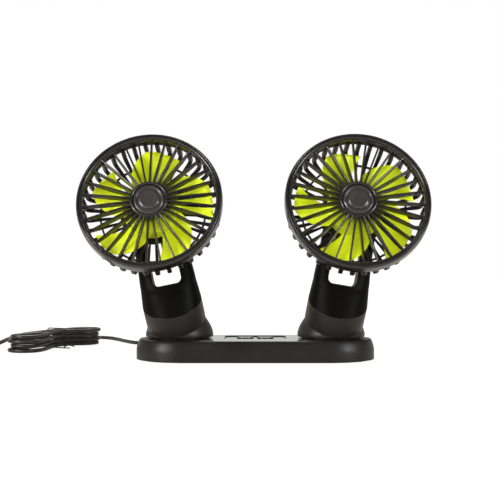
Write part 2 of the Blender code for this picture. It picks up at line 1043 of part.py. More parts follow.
def rotor_hub_mesh():
    front = rotor_front()
    ceiling = front - rotor_hub_wall
    inner = rotor_hub_radius - rotor_hub_wall
    boss_low = motor_high() + motor_nose_height + rotor_boss_gap
    profile = [(rotor_hub_radius * across, front - rotor_hub_crown * drop) for across, drop in rotor_crown_shares]
    profile += [
        (rotor_hub_radius, rotor_back()),
        (inner, rotor_back()),
        (inner, ceiling - rotor_hub_crown),
        (rotor_boss_radius, ceiling - rotor_hub_crown * rotor_boss_crown_share),
        (rotor_boss_radius, boss_low),
        (shaft_radius + clearance, boss_low),
        (shaft_radius + clearance, ceiling - clearance),
        (0, ceiling - clearance),
    ]
    return turned(profile, round_facets)


# Blade: a grid bent round the hub, swept back, twisted and rounded at its leading tip,
# then given its wall
def blade_mesh():
    form = bmesh.new()
    bmesh.ops.create_grid(form, x_segments=4, y_segments=4, size=1)
    root = rotor_hub_radius - rotor_hub_wall / 2
    for vertex in form.verts:
        along = (vertex.co.x + 1) / 2
        across = vertex.co.y
        half_angle = blade_root_angle + (blade_tip_angle - blade_root_angle) * along
        leading = max(across, 0)
        half_angle *= 1 - blade_tip_rounding_share * leading * along ** 6
        rise = blade_root_rise + (blade_tip_rise - blade_root_rise) * along
        radius = root + (blade_tip_radius - root) * along
        radius -= (blade_tip_radius - root) * blade_tip_rounding_share / 2 * along * leading ** 4
        angle = across * half_angle + blade_sweep * along
        height = (rotor_front() + rotor_back()) / 2 + rise * math.sin(across * blade_curl)
        vertex.co = (radius * math.cos(angle), radius * math.sin(angle), height)
    mesh = bpy.data.meshes.new("blade")
    form.to_mesh(mesh)
    form.free()
    item = guide("blade", mesh)
    wall = item.modifiers.new("wall", "SOLIDIFY")
    wall.thickness = blade_thickness
    wall.offset = 0
    result = evaluated_mesh(item)
    bpy.data.objects.remove(item)
    return outward(result)


def rotor_mesh():
    return join(rotor_hub_mesh(), about_z(blade_mesh(), blade_count))


def rotor_shaft_mesh():
    high = rotor_front() - rotor_hub_wall - 2 * clearance
    low = motor_high() + motor_nose_height - bush_length + 2 * clearance
    return cylinder(shaft_radius, low, high, thin_facets)


# Cord: smooth curves through the route's own points
def smooth_route(points, spacing):
    points = [Vector(point) for point in points]
    ends = [points[0] * 2 - points[1]] + points + [points[-1] * 2 - points[-2]]
    fine = []
    for before, start, stop, after in zip(ends, ends[1:], ends[2:], ends[3:]):
        for index in range(20):
            t = index / 20
            fine.append((
                start * 2 + (stop - before) * t + (before * 2 - start * 5 + stop * 4 - after) * t ** 2
                + (start * 3 - before - stop * 3 + after) * t ** 3) / 2)
    fine.append(points[-1])
    lengths = np.cumsum([0] + [(b - a).length for a, b in zip(fine, fine[1:])])
    count = max(4, round(lengths[-1] / spacing))
    even = np.linspace(0, lengths[-1], count + 1)
    table = np.array(fine)
    return np.column_stack([np.interp(even, lengths, table[:, axis]) for axis in range(3)])


def route_length(points):
    return float(np.linalg.norm(np.diff(points, axis=0), axis=1).sum())


def cord_part(name, points, diameter, resolution, material):
    curve = bpy.data.curves.new(name, "CURVE")
    curve.dimensions = "3D"
    curve.bevel_depth = diameter / 2
    curve.bevel_resolution = resolution
    curve.use_fill_caps = True
    spline = curve.splines.new("POLY")
    spline.points.add(len(points) - 1)
    for point, place in zip(spline.points, points):
        point.co = (*place, 1)
    item = bpy.data.objects.new(name, curve)
    parts.objects.link(item)
    curve.materials.append(material)
    return item


def hank_frame():
    place = Matrix.Translation((*hank_centre, 0))
    return place @ Matrix.Rotation(hank_heading, 4, "Z")


# Half width of the hank's loop at a place along its run, before the loop's own offset
def hank_side(x):
    reach = hank_half_length - hank_end_radius
    drawn = math.cos(math.pi * x / (2 * reach)) ** 2
    return hank_end_radius - (hank_end_radius - hank_waist) * drawn


# Turns are counted from the middle of the run on the hank's own +Y side
def hank_point(turns):
    reach = hank_half_length - hank_end_radius
    bend = math.pi * (hank_end_radius + hank_step / 2)
    share = turns % 1 * (4 * reach + 2 * bend)
    per_layer = hank_loops / hank_layers
    layer = min(max(math.floor(turns / per_layer), 0), hank_layers - 1)
    inward = layer * per_layer + per_layer - turns
    outward_turns = turns - layer * per_layer
    offset = hank_step * (inward if layer % 2 == 0 else outward_turns)
    radius = hank_end_radius + offset
    if share < reach:
        x = -share
        y = hank_side(x) + offset
    elif share < reach + bend:
        angle = math.pi / 2 + math.pi * (share - reach) / bend
        x = -reach + radius * math.cos(angle)
        y = radius * math.sin(angle)
    elif share < 3 * reach + bend:
        x = share - 2 * reach - bend
        y = -hank_side(x) - offset
    elif share < 3 * reach + 2 * bend:
        angle = -math.pi / 2 + math.pi * (share - 3 * reach - bend) / bend
        x = reach + radius * math.cos(angle)
        y = radius * math.sin(angle)
    else:
        x = 4 * reach + 2 * bend - share
        y = hank_side(x) + offset
    climb = 2 * reach / (4 * reach + 2 * bend)
    height = cord_diameter / 2
    for index in range(1, hank_layers):
        risen = min(max((turns - index * per_layer) / climb + 0.5, 0), 1)
        height += hank_layer * risen * risen * (3 - 2 * risen)
    if abs(x) < reach:
        height += hank_lift * math.cos(math.pi * x / (2 * reach)) ** 2
    return Vector((x, y, height))


def hank_points():
    count = round((hank_finish - hank_start) * loop_points)
    turns = np.linspace(hank_start, hank_finish, count + 1)
    points = [hank_point(value) for value in turns]
    first = (points[0] - points[1]).normalized() * cord_diameter
    last = (points[-1] - points[-2]).normalized() * cord_diameter
    points = [points[0] + first] + points + [points[-1] + last]
    frame = hank_frame()
    return np.array([frame @ point for point in points])


# Least distance between stretches of the tube that lie more than a few diameters apart along it
def least_gap(points, diameter):
    fine = []
    for start, stop in zip(points, points[1:]):
        fine += [start + (stop - start) * index / 4 for index in range(4)]
    fine = np.array(fine + [points[-1]])
    along = np.concatenate([[0], np.cumsum(np.linalg.norm(np.diff(fine, axis=0), axis=1))])
    distance = np.linalg.norm(fine[:, None] - fine[None], axis=2)
    distance[np.abs(along[:, None] - along[None]) < 6 * diameter] = np.inf
    return float(distance.min() - diameter)


def lead_points(hank):
    exit_point = exit_frame() @ Vector((0, 0, relief_length + clearance))
    out = Vector((0, cord_diameter, 0))
    away = Vector(hank[0] - hank[1]).normalized()
    arrive = Vector(hank[0]) + away * clearance
    hand_chosen = [
        (-0.0194, 0.0640, 0.0066),
        (-0.0208, 0.0760, 0.0034),
        (-0.0252, 0.0880, 0.0017),
        (-0.0342, 0.0985, 0.0016),
        (-0.0480, 0.1060, 0.0016),
        (-0.0660, 0.1105, 0.0016),
        (-0.0860, 0.1180, 0.0016),
        (-0.1040, 0.1330, 0.0016),
        (-0.1160, 0.1530, 0.0016),
        (-0.1255, 0.1740, 0.0016),
        (-0.1375, 0.1905, 0.0016),
        (-0.1525, 0.1945, 0.0016),
        (-0.1635, 0.1830, 0.0016),
        (-0.1660, 0.1640, 0.0016),
    ]
    route = [exit_point, exit_point + out] + hand_chosen
    route += [arrive + away * 3 * cord_diameter, arrive + away * cord_diameter]
    return np.vstack([smooth_route(route, 3 * cord_diameter), arrive])


def plug_frame():
    place = Matrix.Translation((*plug_place, plug_height / 2))
    return place @ Matrix.Rotation(-math.pi / 2, 4, "X")


def tail_points(hank):
    away = Vector(hank[-1] - hank[-2]).normalized()
    leave = Vector(hank[-1]) + away * clearance
    arrive = plug_frame() @ Vector((0, 0, -plug_lead - clearance))
    back = Vector((0, -cord_diameter, 0))
    hand_chosen = [
        (-0.1925, 0.0800, 0.0126),
        (-0.2035, 0.0810, 0.0092),
        (-0.2130, 0.0850, 0.0052),
        (-0.2225, 0.0900, 0.0026),
        (-0.2325, 0.0970, 0.0017),
        (-0.2410, 0.1070, 0.0018),
        (-0.2460, 0.1180, 0.0026),
    ]
    route = [leave + away * cord_diameter] + hand_chosen
    route += [arrive + back * 2, arrive + back, arrive]
    return np.vstack([leave, smooth_route(route, 3 * cord_diameter)])


# Wire tie: one turn round the hank's waist, with both ends left on the near side
def tie_points():
    wire = tie_diameter / 2
    side = hank_waist + hank_step + cord_diameter / 2 + tie_gap + wire
    low = wire
    high = cord_diameter + hank_lift + hank_layer * (hank_layers - 1) + tie_gap + wire
    pitch = 3 * tie_diameter
    corner = 2 * tie_diameter
    outline = rounded_rectangle(2 * side, high - low, corner, 2)
    steps = len(outline)
    start = [(-pitch, -side - 4 * corner, low), (-pitch, -side - 2 * corner, low)]
    turn = []
    for index in range(1, steps):
        across, up = outline[(steps * 3 // 4 + index) % steps]
        turn.append((-pitch / 2 + pitch * index / steps, across, up + (high + low) / 2))
    stop = [(pitch, -side - corner, low + corner), (pitch * 1.5, -side - 4 * corner, low + corner / 2)]
    frame = hank_frame()
    points = [frame @ Vector(point) for point in start + turn + stop]
    return np.array(points)


def plug_body_mesh():
    body = plate(rounded_rectangle(plug_width, plug_height, plug_corner), 0, plug_length)
    relief = turned([
        (0, overrun),
        (relief_root_radius, overrun),
        (relief_root_radius, 0),
        (relief_tip_radius, -plug_lead),
        (0, -plug_lead),
    ], thin_facets)
    return moved(join(body, relief), plug_frame())


def usb_shell_mesh():
    low = plug_length + clearance
    high = low + usb_length
    outer = box((usb_width, usb_height, usb_length), (0, 0, (low + high) / 2))
    inner = box((usb_width - 2 * usb_wall, usb_height - 2 * usb_wall, usb_length), (0, 0, (low + high) / 2 + usb_wall))
    return moved(cut(outer, inner), plug_frame())


def usb_tongue_mesh():
    low = plug_length + usb_wall + 2 * clearance
    height = (usb_height - 2 * usb_wall) / 2
    size = (usb_width - 2 * usb_wall - 2 * clearance, height, usb_length - 4 * usb_wall)
    centre = (0, usb_height / 2 - usb_wall - clearance - height / 2, low + size[2] / 2)
    return moved(box(size, centre), plug_frame())


# Materials
def make_finishes():
    return {
        "satin": finish("satin_black_plastic", charcoal, 0.45),
        "gloss": finish("gloss_black_plastic", black, 0.2),
        "lime": finish("lime_plastic", lime, 0.4),
        "rubber": finish("black_rubber", black, 0.8),
        "steel": finish("plain_steel", steel, 0.35, 1.0),
        "brass": finish("bronze_bush", (0.45, 0.28, 0.12), 0.4, 1.0),
        "nylon": finish("pale_nylon", (0.7, 0.69, 0.64), 0.5),
        "board": finish("green_board", (0.03, 0.16, 0.07), 0.5),
        "cord": finish("cord_jacket", black, 0.5),
    }


# Assembly
def build_base(finishes):
    part("base_shell", base_shell_mesh(), finishes["satin"])
    part("base_plate", base_plate_mesh(), finishes["satin"])
    part("base_pad", base_pad_mesh(), finishes["rubber"])
    screw_mesh = base_screw_mesh()
    for index, place in enumerate(screw_places()):
        part(f"base_screw_{index + 1}", moved(screw_mesh.copy(), Matrix.Translation(place)), finishes["steel"])
    part("control_panel", control_panel_mesh(), finishes["gloss"])
    part("circuit_board", circuit_board_mesh(), finishes["board"])
    part("cord_grommet", cord_grommet_mesh(), finishes["rubber"])
    button = button_mesh()
    switch = button_switch_mesh()
    for name, place in zip(("left", "right"), button_places()):
        spot = Matrix.Translation(place)
        part(name + "_button", moved(button.copy(), spot), finishes["gloss"])
        part(name + "_button_switch", moved(switch.copy(), spot), finishes["nylon"])


def side_meshes():
    return {
        "pedestal": {
            "pedestal": (pedestal_mesh(), "satin"),
            "pedestal_washer": (pedestal_washer_mesh(), "rubber"),
            "pedestal_clip": (pedestal_clip_mesh(), "steel"),
        },
        "elbow": {
            "fork": (fork_mesh(), "gloss"),
            "elbow_washer": (elbow_washer_mesh(), "nylon"),
            "elbow_clip": (elbow_clip_mesh(), "steel"),
            "tilt_bolt": (tilt_bolt_mesh(), "steel"),
            "tilt_nut": (tilt_nut_mesh(), "steel"),
        },
        "tilt": {
            "front_grille": (front_grille_mesh(), "satin"),
            "hub_cap": (hub_cap_mesh(), "gloss"),
            "rear_cage": (rear_cage_mesh(), "satin"),
            "motor_housing": (motor_housing_mesh(), "satin"),
            "motor": (motor_mesh(), "steel"),
            "motor_bush": (motor_bush_mesh(), "brass"),
        },
        "spin": {
            "rotor": (rotor_mesh(), "lime"),
            "rotor_shaft": (rotor_shaft_mesh(), "steel"),
        },
    }


def side_axes(name, side, turns):
    pedestal_turn, elbow_turn, rotor_turn = [math.radians(turn) for turn in turns]
    base_place = Matrix.Translation((side * post_across(), 0, base_height))
    pedestal = axis_empty(name + "_pedestal_axis", base_place @ Matrix.Rotation(side * pedestal_turn, 4, "Z"))
    slope_axis = slope_frame() @ Vector((0, 0, 1))
    turn = Matrix.Rotation(-side * elbow_turn, 4, slope_axis)
    elbow = axis_empty(name + "_elbow_axis", elbow_place() @ turn, pedestal)
    tilt_place = hinge_place() @ Matrix.Rotation(math.pi / 2 - tilt_angle, 4, "X")
    tilt = axis_empty(name + "_tilt_axis", tilt_place, elbow)
    spin = axis_empty(name + "_spin_axis", Matrix.Rotation(rotor_turn, 4, "Z"), tilt)
    return {"pedestal": pedestal, "elbow": elbow, "tilt": tilt, "spin": spin}


def build_sides(finishes):
    meshes = side_meshes()
    for name, side, turns in (("left", -1, left_turns), ("right", 1, right_turns)):
        axes = side_axes(name, side, turns)
        for axis, pieces in meshes.items():
            for piece, (mesh, slot) in pieces.items():
                part(name + "_" + piece, mesh, finishes[slot], axes[axis])
        screw_mesh = housing_screw_mesh()
        for index, place in enumerate(housing_screw_places()):
            copy = moved(screw_mesh.copy(), Matrix.Translation(place))
            part(f"{name}_housing_screw_{index + 1}", copy, finishes["steel"], axes["tilt"])


def build_cord(finishes):
    hank = hank_points()
    lead = lead_points(hank)
    tail = tail_points(hank)
    cord_part("cord_lead", lead, cord_diameter, 2, finishes["cord"])
    cord_part("cord_hank", hank, cord_diameter, 1, finishes["cord"])
    cord_part("cord_tail", tail, cord_diameter, 2, finishes["cord"])
    cord_part("hank_tie", tie_points(), tie_diameter, 1, finishes["rubber"])
    part("usb_plug", plug_body_mesh(), finishes["rubber"])
    part("usb_shell", usb_shell_mesh(), finishes["steel"])
    part("usb_tongue", usb_tongue_mesh(), finishes["nylon"])
    print("cord hank least gap to itself, mm:", round(least_gap(hank, cord_diameter) * 1000, 2))
    total = route_length(lead) + route_length(hank) + route_length(tail)
    print("cord length, m:", round(total, 3))


clear_scene()
parts = new_collection("double_fan")
cutters = new_collection("cutters")
finishes = make_finishes()
build_base(finishes)
build_sides(finishes)
build_cord(finishes)
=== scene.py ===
import json
import math

import bmesh
import bpy
import numpy as np
from mathutils import Matrix


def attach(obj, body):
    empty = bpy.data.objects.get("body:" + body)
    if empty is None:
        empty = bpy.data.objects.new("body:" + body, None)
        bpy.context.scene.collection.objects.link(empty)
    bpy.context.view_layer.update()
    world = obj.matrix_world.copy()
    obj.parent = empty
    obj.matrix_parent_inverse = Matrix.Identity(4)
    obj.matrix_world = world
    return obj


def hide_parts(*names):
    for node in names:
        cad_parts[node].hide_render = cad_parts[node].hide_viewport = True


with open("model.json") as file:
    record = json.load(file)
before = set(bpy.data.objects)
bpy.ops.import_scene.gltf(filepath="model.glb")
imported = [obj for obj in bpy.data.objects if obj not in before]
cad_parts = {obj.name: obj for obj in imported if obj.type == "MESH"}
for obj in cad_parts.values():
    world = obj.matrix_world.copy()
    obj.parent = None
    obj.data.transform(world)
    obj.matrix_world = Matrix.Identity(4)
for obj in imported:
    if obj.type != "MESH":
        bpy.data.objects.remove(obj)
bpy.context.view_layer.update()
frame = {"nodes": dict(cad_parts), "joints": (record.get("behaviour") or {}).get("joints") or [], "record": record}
mm = 0.001
joints = {joint["name"]: joint for joint in frame["joints"]}
sides = ("left", "right")


# Camera, set where the photograph was taken from. Its clip is in metres
cameraSetup = {"place": (-4.03, -866.0, 82.7), "lens": 82.15, "sensor": 36.0, "clip": (0.01, 20)}


def makeCamera():
    data = bpy.data.cameras.new("photoCamera")
    data.lens, data.sensor_width = cameraSetup["lens"], cameraSetup["sensor"]
    data.clip_start, data.clip_end = cameraSetup["clip"]
    camera = bpy.data.objects.new("photoCamera", data)
    camera.location = [value * mm for value in cameraSetup["place"]]
    camera.rotation_euler = (math.pi / 2, 0, 0)
    bpy.context.scene.collection.objects.link(camera)
    bpy.context.scene.camera = camera


makeCamera()
print("camera made")


# Forms are a pair of whole arrays: points, and quads that point into them

def unit(vectors):
    return vectors / np.linalg.norm(vectors, axis=-1, keepdims=True)


# A grid of points, rows by columns, joined to its neighbours and closed on itself where asked
def gridForm(points, wrapRows=False, wrapColumns=True):
    rows, columns = points.shape[:2]
    index = np.arange(rows * columns).reshape(rows, columns)
    if wrapRows:
        index = np.vstack([index, index[:1]])
    if wrapColumns:
        index = np.hstack([index, index[:, :1]])
    quads = np.stack([index[:-1, :-1], index[:-1, 1:], index[1:, 1:], index[1:, :-1]], axis=-1)
    return points.reshape(-1, 3), quads.reshape(-1, 4)


# Both ends of a grid run into the middle of their own row, which closes them
def cappedForm(points):
    first = np.repeat(points[:1].mean(axis=1, keepdims=True), points.shape[1], axis=1)
    last = np.repeat(points[-1:].mean(axis=1, keepdims=True), points.shape[1], axis=1)
    return gridForm(np.concatenate([first, points, last]))


def joined(*forms):
    starts = np.cumsum([0] + [len(points) for points, quads in forms[:-1]])
    quads = np.vstack([form[1] + start for form, start in zip(forms, starts)])
    return np.vstack([form[0] for form in forms]), quads


def placed(points, matrix):
    return points @ matrix[:3, :3].T + matrix[:3, 3]


def moved(form, matrix):
    return placed(form[0], matrix), form[1]


def shifted(form, x, y):
    return form[0] + (x, y, 0), form[1]


# Copies about the Z axis: the points are turned by every angle at once
def aboutAxis(form, count, start=0.0):
    points, quads = form
    angles = start + math.tau * np.arange(count) / count
    c, s = np.cos(angles)[:, None], np.sin(angles)[:, None]
    x, y, z = points.T
    copies = np.stack([x * c - y * s, x * s + y * c, np.broadcast_to(z, (count, len(z)))], axis=-1)
    return copies.reshape(-1, 3), (quads[None] + (np.arange(count) * len(points))[:, None, None]).reshape(-1, 4)


# A profile of radius and height turned about Z: x = radius cos a, y = radius sin a, z = height
def turnedForm(profile, steps=96, closed=False):
    profile = np.asarray(profile, float)
    angle = math.tau * np.arange(steps) / steps
    x = profile[:, :1] * np.cos(angle)
    y = profile[:, :1] * np.sin(angle)
    z = np.broadcast_to(profile[:, 1:], x.shape)
    return gridForm(np.stack([x, y, z], axis=-1), wrapRows=closed)


def cylinderForm(radius, first, last, steps):
    return turnedForm([(0, first), (radius, first), (radius, last), (0, last)], steps)


# Each corner of an outline becomes an arc: points on the quadratic curve between its two sides
def softened(outline, radius, steps=4, closed=True):
    outline = np.asarray(outline, float)
    radius = np.broadcast_to(radius, len(outline))
    back, ahead = np.roll(outline, 1, axis=0) - outline, np.roll(outline, -1, axis=0) - outline
    backLength = np.linalg.norm(back, axis=1, keepdims=True)
    aheadLength = np.linalg.norm(ahead, axis=1, keepdims=True)
    reach = np.minimum(radius[:, None], 0.49 * np.minimum(backLength, aheadLength))
    start = outline + back / backLength * reach
    stop = outline + ahead / aheadLength * reach
    t = np.linspace(0, 1, steps + 1)[None, :, None]
    curve = start[:, None] * (1 - t) ** 2 + 2 * outline[:, None] * t * (1 - t) + stop[:, None] * t ** 2
    if not closed:
        curve[0], curve[-1] = outline[0], outline[-1]
    return curve.reshape(-1, outline.shape[1])


# The same for corners that are each a radius, a height and a softness
def softCorners(corners, steps, closed=False):
    corners = np.array(corners, float)
    return softened(corners[:, :2], corners[:, 2], steps, closed)


# A section carried along a path: each point is path + across * side + up * rise
def sweptForm(path, section, up):
    tangent = unit(np.gradient(path, axis=0))
    across = unit(np.cross(tangent, np.asarray(up, float)))
    rise = np.cross(across, tangent)
    return cappedForm(path[:, None] + across[:, None] * section[None, :, :1] + rise[:, None] * section[None, :, 1:])


def circleSection(radius, steps=16):
    angle = math.tau * np.arange(steps) / steps
    return np.stack([radius * np.cos(angle), radius * np.sin(angle)], axis=-1)


# A cosine or sine pulled towards 1 and -1, which squares a round section
def pulled(wave, power):
    return np.sign(wave) * np.abs(wave) ** power


# Smooth curve through points: cubic with each point's slope taken from its neighbours, then evenly spaced
def smoothPath(points, spacing, perSpan=24):
    points = np.asarray(points, float)
    ends = np.vstack([2 * points[0] - points[1], points, 2 * points[-1] - points[-2]])
    p0, p1, p2, p3 = (ends[i:len(ends) - 3 + i, None] for i in range(4))
    t = (np.arange(perSpan) / perSpan)[None, :, None]
    bend, twist = 2 * p0 - 5 * p1 + 4 * p2 - p3, 3 * p1 - p0 - 3 * p2 + p3
    fine = (2 * p1 + (p2 - p0) * t + bend * t ** 2 + twist * t ** 3) / 2
    return evenPath(np.vstack([fine.reshape(-1, 3), points[-1:]]), spacing)


def evenPath(fine, spacing):
    along = np.concatenate([[0], np.cumsum(np.linalg.norm(np.diff(fine, axis=0), axis=1))])
    even = np.linspace(0, along[-1], max(4, round(along[-1] / spacing)) + 1)
    return np.column_stack([np.interp(even, along, fine[:, axis]) for axis in range(fine.shape[1])])


def pathLength(points):
    return float(np.linalg.norm(np.diff(points, axis=0), axis=1).sum())


# Straight sides and half circles, anticlockwise from the front right
def stadiumOutline(length, width, steps=40, straightSteps=24):
    radius, reach = width / 2, length / 2 - width / 2
    a = np.linspace(-math.pi / 2, math.pi / 2, steps + 1)
    right = np.stack([reach + radius * np.cos(a), radius * np.sin(a)], axis=-1)
    run = np.linspace(reach, -reach, straightSteps + 1)[1:-1]
    back = np.stack([run, np.full_like(run, radius)], axis=-1)
    return np.vstack([right, back, -right, -back])


def roundedRectangle(length, width, corner, steps=8):
    corners = np.array([(1, 1), (-1, 1), (-1, -1), (1, -1)], float)
    a = np.arange(4)[:, None] * math.pi / 2 + np.linspace(0, math.pi / 2, steps + 1)[None]
    centres = corners * (length / 2 - corner, width / 2 - corner)
    x = centres[:, :1] + corner * np.cos(a)
    y = centres[:, 1:] + corner * np.sin(a)
    return np.stack([x, y], axis=-1).reshape(-1, 2)


# A flat outline given a height: each level is the outline drawn in by its inset
def slabForm(outline, levels):
    ahead = np.roll(outline, -1, axis=0) - np.roll(outline, 1, axis=0)
    inward = unit(np.stack([-ahead[:, 1], ahead[:, 0]], axis=-1))
    rows = [np.column_stack([outline + inward * inset, np.full(len(outline), height)]) for inset, height in levels]
    return cappedForm(np.array(rows))


def roundedLevels(low, high, edge, steps=4, lowEdge=None):
    lowEdge = edge if lowEdge is None else lowEdge
    a = np.linspace(0, math.pi / 2, steps + 1)
    bottom = np.stack([lowEdge * (1 - np.sin(a)), low + lowEdge * (1 - np.cos(a))], axis=-1)
    top = np.stack([edge * (1 - np.cos(a)), high - edge * (1 - np.sin(a))], axis=-1)
    return np.vstack([bottom, top])


# A tapered sleeve, ringed by cuts where a wave along it is high
def sleeveForm(z, share, root, tip, rings, before, after):
    depth, count, level, zone = rings
    cut = (np.sin(share * math.tau * count) > level) & (share > zone[0]) & (share < zone[1])
    radius = root + (tip - root) * share - depth * cut
    return turnedForm(np.vstack([before, np.column_stack([radius, z]), after]), 40)


def translation(x, y, z):
    matrix = np.eye(4)
    matrix[:3, 3] = (x, y, z)
    return matrix


def rotation(angle, axis):
    c, s = math.cos(angle), math.sin(angle)
    matrix = np.eye(4)
    i, j = {"X": (1, 2), "Y": (2, 0), "Z": (0, 1)}[axis]
    matrix[i, i] = matrix[j, j] = c
    matrix[j, i], matrix[i, j] = s, -s
    return matrix


def frameMatrix(place, x, y, z):
    return np.vstack([np.column_stack([x, y, z, place]), (0, 0, 0, 1)])


# The same placing for a mesh that is already in metres
def metreMatrix(matrix):
    rows = np.array(matrix, float)
    rows[:3, 3] *= mm
    return Matrix(rows.tolist())


def meshFrom(name, form):
    points, quads = form
    mesh = bpy.data.meshes.new(name)
    mesh.vertices.add(len(points))
    mesh.vertices.foreach_set("co", (points * mm).astype(np.float32).ravel())
    mesh.loops.add(quads.size)
    mesh.loops.foreach_set("vertex_index", quads.astype(np.int32).ravel())
    mesh.polygons.add(len(quads))
    mesh.polygons.foreach_set("loop_start", np.arange(0, quads.size, 4, dtype=np.int32))
    mesh.update(calc_edges=True)
    return mended(mesh)


# Poles become single points and every face is turned outwards
def mended(mesh):
    work = bmesh.new()
    work.from_mesh(mesh)
    bmesh.ops.remove_doubles(work, verts=work.verts, dist=2e-7)
    bmesh.ops.dissolve_degenerate(work, edges=work.edges, dist=1e-7)
    bmesh.ops.recalc_face_normals(work, faces=work.faces)
    work.to_mesh(mesh)
    work.free()
    return mesh


def looseObject(name, mesh):
    item = bpy.data.objects.new(name, mesh)
    bpy.context.scene.collection.objects.link(item)
    return item


# One solid cut from, joined to or kept inside another, worked out at once
def combined(mesh, form, operation="DIFFERENCE"):
    target, tool = looseObject("target", mesh), looseObject("tool", meshFrom("tool", form))
    modifier = target.modifiers.new("cut", "BOOLEAN")
    modifier.operation, modifier.solver, modifier.object = operation, "EXACT", tool
    bpy.context.view_layer.update()
    result = bpy.data.meshes.new_from_object(target.evaluated_get(bpy.context.evaluated_depsgraph_get()))
    bpy.data.objects.remove(target)
    bpy.data.objects.remove(tool)
    return result


# A form or a finished mesh becomes the visible piece that stands for its nodes
def dress(name, shape, finish, finishSlot, body, *nodes, sharp=32):
    mesh = meshFrom(name, shape) if isinstance(shape, tuple) else shape
    item = looseObject(name, mesh)
    mesh.materials.clear()
    mesh.materials.append(finishes[finish])
    mesh.shade_smooth()
    mesh.set_sharp_from_angle(angle=math.radians(sharp))
    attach(item, body)
    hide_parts(*nodes)
    return item


# Materials: shader groups for the effects that several finishes share. Each takes a vector and some numbers
def newGroup(name, numbers, outputs):
    group = bpy.data.node_groups.new(name, "ShaderNodeTree")
    group.interface.new_socket("Vector", in_out="INPUT", socket_type="NodeSocketVector")
    for label, value in numbers.items():
        group.interface.new_socket(label, in_out="INPUT", socket_type="NodeSocketFloat").default_value = value
    for label in outputs:
        group.interface.new_socket(label, in_out="OUTPUT", socket_type="NodeSocketFloat")
    return group, group.nodes.new("NodeGroupInput"), group.nodes.new("NodeGroupOutput")


# Each input is set to a constant, or linked where it is given as a node and that node's output
def feed(tree, node, inputs):
    for key, value in inputs.items():
        if isinstance(value, tuple) and isinstance(value[0], bpy.types.Node):
            tree.links.new(value[0].outputs[value[1]], node.inputs[key])
        else:
            node.inputs[key].default_value = value
    return node


def addNode(tree, kind, inputs=None, **settings):
    node = tree.nodes.new("ShaderNode" + kind)
    for key, value in settings.items():
        setattr(node, key, value)
    return feed(tree, node, inputs or {})


# A value carried from one pair of ends to another
def addRange(tree, value, source, target=(0.0, 1.0), kind="LINEAR"):
    ends = {"Value": value, "From Min": source[0], "From Max": source[1], "To Min": target[0], "To Max": target[1]}
    return addNode(tree, "MapRange", ends, interpolation_type=kind)


def addProduct(tree, first, second):
    return addNode(tree, "Math", {0: first, 1: second}, operation="MULTIPLY")


# Fine moulded grain: two noises of different size, one for the tool's texture and one for flow
def makeGrainGroup():
    group, entry, leave = newGroup("mouldGrain", {"Scale": 2600.0, "Flow Scale": 60.0}, ["Height", "Flow"])
    fineInputs = {"Vector": (entry, "Vector"), "Scale": (entry, "Scale"), "Detail": 3.0, "Roughness": 0.6}
    fine = addNode(group, "TexNoise", fineInputs)
    flowInputs = {"Scale": (entry, "Flow Scale"), "Detail": 4.0, "Roughness": 0.55, "Distortion": 0.6}
    flow = addNode(group, "TexNoise", {**fineInputs, **flowInputs})
    feed(group, leave, {"Height": (fine, "Fac"), "Flow": (flow, "Fac")})
    return group


# Dust settles on what faces up: the normal's height times a broken noise
def makeDustGroup():
    group, entry, leave = newGroup("settledDust", {"Scale": 900.0, "Amount": 0.1}, ["Mask"])
    geometry = addNode(group, "NewGeometry")
    split = addNode(group, "SeparateXYZ", {"Vector": (geometry, "Normal")})
    facing = addRange(group, (split, "Z"), (0.2, 1.0))
    specks = addNode(
        group, "TexNoise", {"Vector": (entry, "Vector"), "Scale": (entry, "Scale"), "Detail": 5.0, "Roughness": 0.7})
    broken = addRange(group, (specks, "Fac"), (0.45, 0.75))
    both = addProduct(group, (facing, "Result"), (broken, "Result"))
    amount = addProduct(group, (both, "Value"), (entry, "Amount"))
    feed(group, leave, {"Mask": (amount, "Value")})
    return group


grainGroup = makeGrainGroup()
dustGroup = makeDustGroup()

